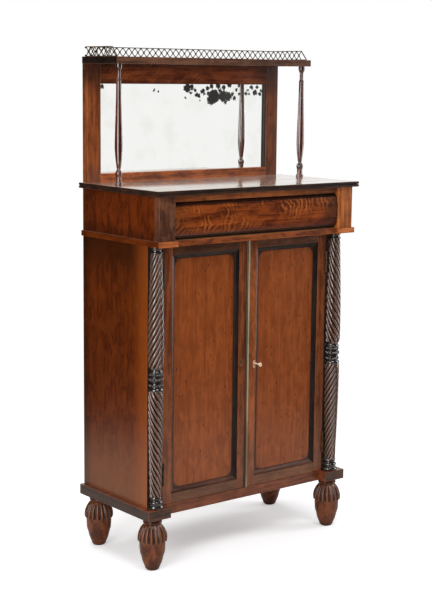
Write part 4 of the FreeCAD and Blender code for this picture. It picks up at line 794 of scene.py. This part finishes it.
# %% Gadrooned feet
LOBES = 18
LOBE_STEPS = 8
FOOT_OUTLINE = [
    (0, 0), (15.0, 0), (16.0, 0.6, 1.0), (20.9, 10, 1.2), (30.0, 38, 1.4), (34.8, 64, 0.3), (34.8, 80),
    (39.0, 80.5, 0.6), (40.3, 89, 0.2), (39.8, 96, 0.7), (35.8, 109, 1.1), (25.4, 125), (23.4, 127.6),
    (23.6, 129.2, 2.4), (23.6, 137.6), (22.4, 138.6), (22.4, 143.2), (24.0, 144.0), (0, 144.0),
]
CAP_LOW = 80.2
CAP_HIGH = 127.0
GROOVE = 0.15
GROOVE_RUN_OUT = 4.5
LIP_LIFT = 7.0
LIP_TOP = 90.5
LOBE_FULLNESS = 0.7
PLAIN_WOOD = 0.8


def carve_lobes(bm, axis_x, axis_y):
    """Draw the cap in between its lobes; every point notes how near the crest of the carving it lies."""
    crest = bm.verts.layers.float.new("crest")
    for vert in bm.verts:
        vert[crest] = PLAIN_WOOD
        height = vert.co.z / MM
        if not CAP_LOW < height < CAP_HIGH:
            continue
        out = vert.co.xy - Vector((axis_x, axis_y))
        gap = 1 - abs(sin(atan2(out.y, out.x) * LOBES / 2)) ** LOBE_FULLNESS
        rise = (height - CAP_LOW) / (CAP_HIGH - CAP_LOW)
        depth = gap * min(1.0, (1 - rise) * GROOVE_RUN_OUT)
        vert[crest] = 1 - depth
        out *= 1 - GROOVE * depth
        vert.co.x = axis_x + out.x
        vert.co.y = axis_y + out.y
        if height < LIP_TOP:
            vert.co.z += LIP_LIFT * MM * gap * (LIP_TOP - height) / (LIP_TOP - CAP_LOW)


WAX_FROM, WAX_FULL = 0.8, 0.3
# Paler crests: wear from hands and a painted highlight along every ridge.
WORN_AND_LIT_FROM, WORN_AND_LIT_FULL = 0.84, 0.98


def wax_wear_and_highlight(finish, waxed, paleness, paler):
    """Wax blackens the hollows of carving; its crests turn paler, partly wear from hands and partly a painted
    highlight, as the crest attribute says.
    """
    tree = finish.node_tree
    colour_socket = tree.nodes["Principled BSDF"].inputs["Base Color"]
    crest = add(tree, "Attribute", attribute_name="crest").outputs["Fac"]
    wax = math(tree, "MULTIPLY", ramp(tree, crest, WAX_FROM, WAX_FULL), waxed)
    colour = mixed(tree, wax, colour_socket.links[0].from_socket, SOOT_AND_SHADE)
    worn_and_lit = math(tree, "MULTIPLY", ramp(tree, crest, WORN_AND_LIT_FROM, WORN_AND_LIT_FULL), paleness)
    connect(tree, colour_socket, mixed(tree, worn_and_lit, colour, paler))


# Darker at the toe, and a painted shadow just under the lip of the cap.
FOOT_SHADES = [("Z", 0.0, 0.02, 0.5, SOOT_AND_SHADE), ("Z", 0.083, 0.078, 0.5, tint(40, 20, 12))]
foot_finish = wood("foot_wood", "Z", 80, tint(66, 30, 12), tint(114, 58, 27), polish=0.22, shades=FOOT_SHADES,
                   streaky=0.15, flecked=0.3)
# The pale crests of the lobes are wear and a painted highlight.
wax_wear_and_highlight(foot_finish, waxed=0.75, paleness=0.3, paler=tint(168, 104, 62))
for node in ("foot_front_left", "foot_front_right", "foot_back_left", "foot_back_right"):
    middle = middle_of(node)
    bm = bmesh.new()
    spin_outline(bm, middle.x, middle.y, FOOT_OUTLINE, LOBES * LOBE_STEPS)
    carve_lobes(bm, middle.x, middle.y)
    make_piece("carved_" + node, bm, "carcass", [foot_finish], [node])
print("four feet with", LOBES, "lobes each")

# %% [markdown]
# ## The twisted columns
# Each shaft is a bundle of ten reeds wound like a rope. Its section is a circle drawn in between the
# reeds; extruding it upward ring by ring, with a small turn and a change of width at each step, winds
# the rope. The upper and the lower shaft wind opposite ways, and the right column mirrors the left. They
# were cut by hand, so no two climb quite alike: each shaft has its own rise from reed to reed. A Screw
# modifier would wind the section too, but not let the shaft swell and taper on the way up.

# %% Helpers for twisted shafts
REEDS = 10
REED_POINTS = 10
REED_DEPTH = 0.22
RING_STEP = 4.0
LOWER_SHAFT = [(204, 16.4), (249, 17.2), (331, 19.8), (380, 20.6), (450, 21.6), (482, 21.8), (493, 20.4)]
UPPER_SHAFT = [(556, 19.4), (564, 21.4), (600, 22.0), (660, 21.6), (734, 19.8), (790, 17.8), (830, 16.6),
               (858, 15.4)]
REED_RISE = {("column_left", "lower"): 20.6, ("column_left", "upper"): 20.6,
             ("column_right", "lower"): 19.9, ("column_right", "upper"): 22.3}


def width_at(profile, height):
    """Radius at a height, between the places of a shaft that its profile lists."""
    for (low, low_radius), (high, high_radius) in zip(profile, profile[1:]):
        if height <= high:
            share = (height - low) / (high - low)
            return low_radius + (high_radius - low_radius) * share
    return profile[-1][1]


def rope_shaft(bm, axis_x, axis_y, profile, hand, reed_rise):
    """Wind a reeded shaft upward; hand is +1 or -1, the way it turns."""
    low, high = profile[0][0], profile[-1][0]
    turn_per_rise = hand * 2 * pi / (REEDS * reed_rise)
    axis = Vector((axis_x, axis_y, 0))
    crest = bm.verts.layers.float["crest"]
    ring = bmesh.ops.create_circle(bm, cap_ends=True, segments=REEDS * REED_POINTS, radius=1.0)["verts"]
    for vert in ring:
        vert[crest] = 1 - (1 - abs(sin(atan2(vert.co.y, vert.co.x) * REEDS / 2))) ** 2
        vert.co *= 1 - REED_DEPTH * (1 - vert[crest])
    radius = width_at(profile, low) * MM
    bmesh.ops.scale(bm, verts=ring, vec=(radius, radius, 1))
    bmesh.ops.translate(bm, verts=ring, vec=axis + Vector((0, 0, low * MM)))
    edges = list({edge for vert in ring for edge in vert.link_edges})
    steps = round((high - low) / RING_STEP)
    for number in range(1, steps + 1):
        extruded = bmesh.ops.extrude_edge_only(bm, edges=edges)["geom"]
        verts = [item for item in extruded if isinstance(item, bmesh.types.BMVert)]
        edges = [item for item in extruded if isinstance(item, bmesh.types.BMEdge)]
        height = low + (high - low) * number / steps
        wider = width_at(profile, height) * MM / radius
        radius *= wider
        rise = (high - low) / steps
        bmesh.ops.translate(bm, verts=verts, vec=(0, 0, rise * MM))
        bmesh.ops.rotate(bm, verts=verts, cent=axis, matrix=Matrix.Rotation(turn_per_rise * rise, 3, "Z"))
        bmesh.ops.scale(bm, verts=verts, vec=(wider, wider, 1), space=Matrix.Translation(-axis))
    bmesh.ops.edgeloop_fill(bm, edges=edges)


def plane_off_back(bm, plane_y):
    """Cut away all that lies behind an upright plane and close the flat that it leaves."""
    everything = list(bm.verts) + list(bm.edges) + list(bm.faces)
    result = bmesh.ops.bisect_plane(bm, geom=everything, plane_co=(0, plane_y, 0), plane_no=(0, 1, 0),
                                    clear_outer=True, dist=WELD)
    cut_edges = [item for item in result["geom_cut"] if isinstance(item, bmesh.types.BMEdge)]
    bmesh.ops.holes_fill(bm, edges=cut_edges)


widest = max(radius for height, radius in LOWER_SHAFT + UPPER_SHAFT)
print("a reed is", round(2 * pi * widest / REEDS, 1), "mm wide at the widest place of a shaft")

# %% [markdown]
# A column is more than its two shafts: a turned base, a collar with three rows of carved beads and a
# capital stand below, between and above them. These are spun like the feet. The beads could be cut out of
# the collar, but small spheres sunk about halfway into it need none. Shafts, turnings and beads share one
# mesh, so that one cut at the end planes off all that would sink into the post. A clear coat stands for
# the thick dark polish, and gives every crest its line of light.

# %% Twisted columns
COLUMN_RADIUS = 22 * MM
ROUND_STEPS = 48
BASE_OUTLINE = [
    (0, 172.2), (20.2, 172.2, 1.8), (20.2, 180.6), (17.0, 182.0), (17.0, 184.5), (18.2, 185.5, 1.6),
    (18.2, 193.0), (15.6, 194.5), (15.2, 198.0), (16.6, 199.0, 0.9), (16.6, 204.5), (0, 204.5),
]
COLLAR_OUTLINE = [
    (0, 491.5), (19.4, 491.5, 2.0), (19.4, 500.5), (16.0, 502.0), (15.8, 514.0), (17.6, 515.5), (17.6, 517.5),
    (16.4, 518.5), (16.4, 530.5), (17.6, 531.5), (17.6, 533.0), (16.2, 534.0), (16.2, 541.0),
    (18.0, 542.0, 0.8), (18.0, 546.5), (16.6, 548.0, -0.9), (18.2, 555.0), (19.4, 557.0), (0, 557.0),
]
CAPITAL_OUTLINE = [
    (0, 856.5), (15.6, 856.5, 1.4), (15.6, 862.0), (13.8, 863.0, -0.5), (14.2, 867.5), (15.8, 868.5, 1.0),
    (15.8, 872.5), (16.6, 873.0), (16.6, 876.8), (0, 876.8),
]
BEAD_ROWS = [(508.0, 16.2, 4.2, 12), (524.5, 17.0, 4.7, 12), (537.2, 16.4, 3.3, 16)]


def bead_row(bm, axis_x, axis_y, height, distance, radius, count):
    """A ring of small carved beads round a column, all sizes in millimetres."""
    for number in range(count):
        angle = 2 * pi * number / count
        out = Vector((cos(angle) * distance, sin(angle) * distance, height)) * MM
        bmesh.ops.create_uvsphere(bm, u_segments=10, v_segments=6, radius=radius * MM,
                                  matrix=Matrix.Translation(Vector((axis_x, axis_y, 0)) + out))


LACQUER_ROUGHNESS = 0.1
LACQUER_IOR = 1.85


def lacquered(name, seed, dark, light, polish, shades=()):
    """Wood under thick dark polish: the coat gives carved edges their bright lights."""
    finish = wood(name, "Z", seed, dark, light, polish=polish, gloss=0.2, shades=shades)
    shader = finish.node_tree.nodes["Principled BSDF"]
    shader.inputs["Coat Weight"].default_value = 1.0
    shader.inputs["Coat Roughness"].default_value = LACQUER_ROUGHNESS
    shader.inputs["Coat IOR"].default_value = LACQUER_IOR
    return finish


column_finish = lacquered("column_wood", 85, tint(30, 14, 7), tint(66, 32, 18), polish=0.3)
# The pale crests of the reeds are wear and a painted highlight.
wax_wear_and_highlight(column_finish, waxed=0.9, paleness=0.22, paler=tint(176, 126, 98))
for node, hand in (("column_left", 1), ("column_right", -1)):
    axis_x = middle_of(node).x
    axis_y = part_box(node)[0].y + COLUMN_RADIUS
    bm = bmesh.new()
    bm.verts.layers.float.new("crest")
    rope_shaft(bm, axis_x, axis_y, LOWER_SHAFT, -hand, REED_RISE[node, "lower"])
    rope_shaft(bm, axis_x, axis_y, UPPER_SHAFT, hand, REED_RISE[node, "upper"])
    for outline in (BASE_OUTLINE, COLLAR_OUTLINE, CAPITAL_OUTLINE):
        spin_outline(bm, axis_x, axis_y, outline, ROUND_STEPS)
    for row in BEAD_ROWS:
        bead_row(bm, axis_x, axis_y, *row)
    plane_off_back(bm, door_face)
    bmesh.ops.recalc_face_normals(bm, faces=bm.faces)
    make_piece("twisted_" + node, bm, "carcass", [column_finish], [node])
print("two twisted columns,", REEDS, "reeds each")

# %% [markdown]
# ## The shelf columns
# Slim turned columns carry the front of the shelf: a moulded foot, a long vase shape that is widest a
# third of the way up, and a little bell under the shelf. The outline's heights could count from the floor,
# as those of the twisted columns do; they count from the column's own foot, as on a lathe, and the
# finished turning is lifted onto the worktop.

# %% Shelf columns
SHELF_COLUMN = [
    (0, 0), (10.4, 0), (10.6, 1.0, 0.3), (10.6, 6.6), (9.0, 7.4), (8.2, 9.0, -0.5), (8.0, 24.0), (8.6, 25.2),
    (8.9, 26.6, 1.1), (8.7, 36.6), (7.4, 37.6), (5.6, 42.0, -0.5), (5.9, 47.0), (7.6, 60.0, 0.25),
    (10.2, 88.0, 0.35), (10.8, 108.0, 0.1), (10.4, 130.0, 0.2), (8.7, 184.0, 0.1), (7.4, 232.0), (6.9, 274.0),
    (6.3, 276.0, 1.2), (6.3, 280.0), (5.4, 281.0, -0.2), (5.3, 296.0, -0.8), (7.2, 307.0, 0.9),
    (9.2, 316.0), (9.0, 321.0), (0, 321.0),
]
# Painted shade under the shelf at the top of each column.
shelf_column_finish = lacquered("shelf_column_wood", 88, tint(52, 22, 14), tint(108, 56, 38), polish=0.3,
                                shades=[("Z", 1.344, 1.3, 0.6, SOOT_AND_SHADE)])
for node in ("shelf_column_left", "shelf_column_right"):
    middle = middle_of(node)
    bm = bmesh.new()
    spin_outline(bm, middle.x, middle.y, SHELF_COLUMN, ROUND_STEPS)
    bmesh.ops.translate(bm, verts=bm.verts, vec=(0, 0, top_height))
    make_piece("turned_" + node, bm, "carcass", [shelf_column_finish], [node])
print("two shelf columns on the worktop at", round(top_height, 4), "m")

# %% [markdown]
# ## Old metal
# Old metal shows two surfaces at once: brown tarnish over most of it, and bare metal where hands and
# cloths reach. Two materials on separate faces could do that, but tarnish doesn't stop at an edge, so one
# noise blends the two colours and makes the tarnish a little rougher as well.

# %% Old metal finish
TARNISH_BLUR = 0.15
DULLER = 0.15


def tarnished(name, dull, bright, metallic, roughness, bright_share=0.55):
    """Old metal: brown tarnish over most of it and bare metal where hands and cloths reach."""
    finish, tree, shader = new_finish(name, Metallic=metallic)
    patches = noise(tree, own_place(tree), scale=70.0, detail=5.0, roughness=0.65)
    bare = ramp(tree, patches, 1 - bright_share - TARNISH_BLUR, 1 - bright_share + TARNISH_BLUR)
    connect(tree, shader.inputs["Base Color"], mixed(tree, bare, dull, bright))
    connect(tree, shader.inputs["Roughness"], between(tree, bare, roughness + DULLER, roughness))
    bump(tree, shader, patches, strength=0.08, depth=0.2 * MM)
    return finish


print("finish for old metal ready")

# %% [markdown]
# ## The brass gallery
# A trellis of crossed bars between two thin rails, with a small boss wherever bars meet. One bar and one
# boss are made again and again, so each is kept to a few faces. A flat strip that is see-through between
# the bars would need fewer still, but from the side it would have no thickness.

# %% Gallery
gallery_low, gallery_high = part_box("gallery")
SHEET = 1.8 * MM
BACK_CELLS = 33
SIDE_CELLS = 6
SIDE_TOP_LENGTH = 124.2 * MM
RAKE = 23.0 * MM
RAIL_MIDDLE = 1.1 * MM
RAIL_WIDTH = 2.2 * MM
BAR_WIDTH = 2.1 * MM
RAKED_WIDTH = 2.4 * MM
BAR_SHEET = SHEET * 0.6
BOSS, END_BOSS = 2.9 * MM, 2.7 * MM
LOW_END, HIGH_END = 2.6, 1.6        # end bosses: above the shelf, below the head rail, in RAIL_MIDDLE
gallery_height = gallery_high.z - gallery_low.z


def add_bar(bm, start, end, width, thickness, across):
    """A thin bar between two points; across is the direction of its thickness."""
    along = end - start
    sideways = along.cross(across).normalized()
    turn = Matrix((sideways, across, along.normalized())).transposed().to_4x4()
    size = Matrix.Diagonal((width, thickness, along.length, 1.0))
    bmesh.ops.create_cube(bm, size=1.0, matrix=Matrix.Translation((start + end) / 2) @ turn @ size)


def add_boss(bm, place, radius, thickness, across):
    turn = across.to_track_quat("Z", "Y").to_matrix().to_4x4()
    bmesh.ops.create_cone(bm, cap_ends=True, segments=8, radius1=radius, radius2=radius, depth=thickness,
                          matrix=Matrix.Translation(place) @ turn)


def trellis(bm, start, along, across, length, cells):
    """Crossed bars between a foot rail and a head rail, from a start point on the shelf."""
    up = Vector((0, 0, 1))
    cell = length / cells
    foot = up * RAIL_MIDDLE
    head = up * (gallery_height - RAIL_MIDDLE)
    for rise in (foot, head):
        add_bar(bm, start + rise, start + rise + along * length, RAIL_WIDTH, SHEET, across)
    for number in range(cells):
        left = start + along * cell * number
        far = left + along * cell
        add_bar(bm, left + foot, far + head, BAR_WIDTH, BAR_SHEET, across)
        add_bar(bm, left + head, far + foot, BAR_WIDTH, BAR_SHEET, across)
        add_boss(bm, (left + far + foot + head) / 2, BOSS, SHEET, across)
        for rise in (foot * LOW_END, head - foot * HIGH_END):
            add_boss(bm, left + rise, END_BOSS, SHEET, across)


dark_brass = tarnished("gallery_brass", tint(38, 30, 23), tint(136, 110, 78), metallic=0.5, roughness=0.35,
                       bright_share=0.45)
bm = bmesh.new()
right = Vector((1, 0, 0))
backward = Vector((0, 1, 0))
rear_y = gallery_high.y - SHEET / 2
base_z = gallery_low.z
rear_length = gallery_high.x - gallery_low.x
trellis(bm, Vector((gallery_low.x, rear_y, base_z)), right, backward, rear_length, BACK_CELLS)
for x in (gallery_low.x + SHEET / 2, gallery_high.x - SHEET / 2):
    start = Vector((x, rear_y - SHEET / 2, base_z))
    trellis(bm, start, -backward, right, SIDE_TOP_LENGTH, SIDE_CELLS)
    front_head = start - backward * SIDE_TOP_LENGTH
    toe = front_head - backward * RAKE
    low_rise = Vector((0, 0, RAIL_MIDDLE))
    high_rise = Vector((0, 0, gallery_height - RAIL_MIDDLE))
    add_bar(bm, front_head + high_rise, toe + low_rise, RAKED_WIDTH, SHEET, right)
    add_bar(bm, front_head + low_rise, toe + low_rise, RAIL_WIDTH, SHEET, right)
make_piece("trellis_gallery", bm, "carcass", [dark_brass], ["gallery"])
print("gallery of", BACK_CELLS + 2 * SIDE_CELLS, "crosses")

# %% [markdown]
# ## The mirror
# Old silvering: bright, a little warm, and eaten away along the top in black blots. Each blot is a circle
# whose edge is broken up by noise. They are listed one by one, large ones right of the middle and smaller
# ones round them, as (place along the glass, height, radius) in millimetres. The silvering itself has no
# roughness at all, because only a perfect mirror sees the white surroundings of this studio. Blots from noise
# alone would be quicker, but they would spread evenly over the glass.

# %% Mirror
BLOTS = [
    (8, 1279, 13), (23, 1282, 8), (42, 1260, 7), (50, 1257, 6), (64, 1271, 8), (69, 1263, 5), (105, 1255, 21),
    (95, 1246, 15), (139, 1256, 16), (157, 1255, 14), (148, 1239, 6), (96, 1285, 8), (120, 1287, 9),
    (142, 1281, 7), (162, 1289, 9), (174, 1262, 6), (182, 1251, 6), (200, 1263, 4.5), (198, 1288, 6),
    (225, 1264, 6), (237, 1262, 4), (247, 1281, 7), (261, 1267, 9), (279, 1262, 6), (1, 1251, 3),
    (52, 1244, 3), (-109, 1273, 4), (-94, 1270, 2.5), (-284, 1283, 6), (20, 1266, 5), (36, 1274, 5),
    (82, 1278, 7), (84, 1264, 6), (214, 1277, 4.5), (232, 1273, 4), (268, 1282, 5), (284, 1272, 4.5),
    (190, 1274, 5), (128, 1272, 7),
]
RAGGED = 0.022
RAGGED_MIDDLE = 0.52
BLACKENED = tint(34, 30, 30)
BLOT_ROUGHNESS = 0.5
CLOUDED_SHARE = 0.3
glass, tree, shader = new_finish("old_silvering", Metallic=1.0, Roughness=0.0, Base_Color=tint(238, 239, 236))
place = own_place(tree)
ragged = noise(tree, place, scale=190.0, detail=5.0, roughness=0.75)
nearest = None
for x, z, size in BLOTS:
    offset = vector_math(tree, "SUBTRACT", place, (x * MM, 0, z * MM))
    reach = vector_math(tree, "LENGTH", vector_math(tree, "MULTIPLY", offset, (1, 0, 1)))
    inside = math(tree, "SUBTRACT", size * MM, reach)
    nearest = inside if nearest is None else math(tree, "MAXIMUM", nearest, inside)
raggedness = math(tree, "MULTIPLY", math(tree, "SUBTRACT", ragged, RAGGED_MIDDLE), RAGGED)
broken = math(tree, "ADD", nearest, raggedness)
blot = ramp(tree, broken, none_at=-0.3 * MM, full_at=0.6 * MM)
clouded = ramp(tree, noise(tree, place, scale=16.0), 0.45, 0.8)
silver = mixed(tree, math(tree, "MULTIPLY", clouded, CLOUDED_SHARE), tint(243, 244, 241), tint(214, 210, 204))
connect(tree, shader.inputs["Base Color"], mixed(tree, blot, silver, BLACKENED))
connect(tree, shader.inputs["Metallic"], math(tree, "SUBTRACT", 1.0, blot))
connect(tree, shader.inputs["Roughness"], math(tree, "MULTIPLY", blot, BLOT_ROUGHNESS))
refinish("mirror_plate", glass)
print(len(BLOTS), "blots in the silvering")

# %% [markdown]
# ## Brass and iron on the doors
# The keyholes, hinges, bolts and key keep the shapes of the frame; a welded copy shades their round parts
# smoothly. They could be modelled again, but at this size the frame's own shapes are fine enough. The meeting
# strip is rounded over in front, as drawn brass is, and the side of it next to the left door is painted
# black: a painted shadow of the gap between door and strip.

# %% Door fittings
STRIP_ROUNDING = 1.4 * MM
brass = tarnished("old_brass", tint(64, 46, 32), tint(132, 106, 76), metallic=0.6, roughness=0.3)
iron = tarnished("old_iron", tint(84, 70, 60), tint(150, 140, 130), metallic=0.7, roughness=0.35)
hinge_brass = tarnished("hinge_brass", tint(38, 27, 19), tint(84, 62, 42), metallic=0.5, roughness=0.4)
key_metal = tarnished("key_metal", tint(206, 164, 136), tint(246, 222, 194), metallic=0.25, roughness=0.2)
plate_brass = tarnished("plate_brass", tint(150, 110, 84), tint(216, 168, 134), metallic=0.3, roughness=0.3)
strip_brass, tree, shader = new_finish("strip_brass", Metallic=0.3, Roughness=0.4)
paleness = noise(tree, squeezed(tree, "Z", stretch=0.1, seed=95), scale=60.0, detail=4.0, roughness=0.6)
worn_places = ramp(tree, paleness, 0.35, 0.65)
pale = mixed(tree, worn_places, tint(124, 110, 80), tint(166, 150, 114))
# Painted shadow: the strip's edge next to the left door is darkened, standing for the gap between them.
connect(tree, shader.inputs["Base Color"], shaded(tree, pale, [("X", -0.0025, -0.0005, 0.92, SOOT_AND_SHADE)]))
bump(tree, shader, worn_places, strength=0.1, depth=0.2 * MM)
bm = welded_copy("meeting_strip")
strip_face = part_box("meeting_strip")[0].y
front_edges = [edge for edge in bm.edges if all(vert.co.y < strip_face + 0.1 * MM for vert in edge.verts)]
bmesh.ops.bevel(bm, geom=front_edges, offset=STRIP_ROUNDING, offset_type="OFFSET", segments=4, profile=0.5,
                affect="EDGES", clamp_overlap=True, material=-1)
make_piece("rounded_meeting_strip", bm, "right_door", [strip_brass], ["meeting_strip"])
FITTINGS = [
    ("left_keyhole", brass), ("right_keyhole", plate_brass),
    ("left_door_hinge_leaves", hinge_brass), ("right_door_hinge_leaves", hinge_brass),
    ("post_hinge_leaves", hinge_brass), ("hinge_pins", hinge_brass), ("lock_bolt", brass),
    ("top_bolt", brass), ("bottom_bolt", brass), ("bolt_plates", brass), ("lock_case", iron),
    ("key", key_metal),
]
for node, finish in FITTINGS:
    bm = welded_copy(node)
    make_piece("polished_" + node, bm, body_of_node[node], [finish], [node])
print(len(FITTINGS), "fittings")

# %% [markdown]
# ## Wood that nobody sees
# Back boards, the drawer's box, the shelf inside and the board behind the glass are plain pine, left
# unpolished. They could have a finish of their own, but the wood of the show boards serves as well, with
# paler tones, more streaks and hardly any gloss. The boards keep the sharp edges of the frame's meshes.

# %% Pine
HIDDEN_BOARDS = [
    ("back_boards", "Z"), ("mirror_backboard", "X"), ("inner_shelf", "X"), ("shelf_bearers", "Y"),
    ("frieze_floor", "X"), ("drawer_guides", "Y"), ("drawer_sides", "Y"), ("drawer_back", "X"),
    ("drawer_bottom", "X"),
]
for seed, (node, axis) in enumerate(HIDDEN_BOARDS, start=100):
    finish = wood(node + "_pine", axis, seed, tint(134, 98, 62), tint(170, 128, 82), polish=0.7, gloss=0.2,
                  streaky=0.8)
    refinish(node, finish)
print(len(HIDDEN_BOARDS), "boards of pine")
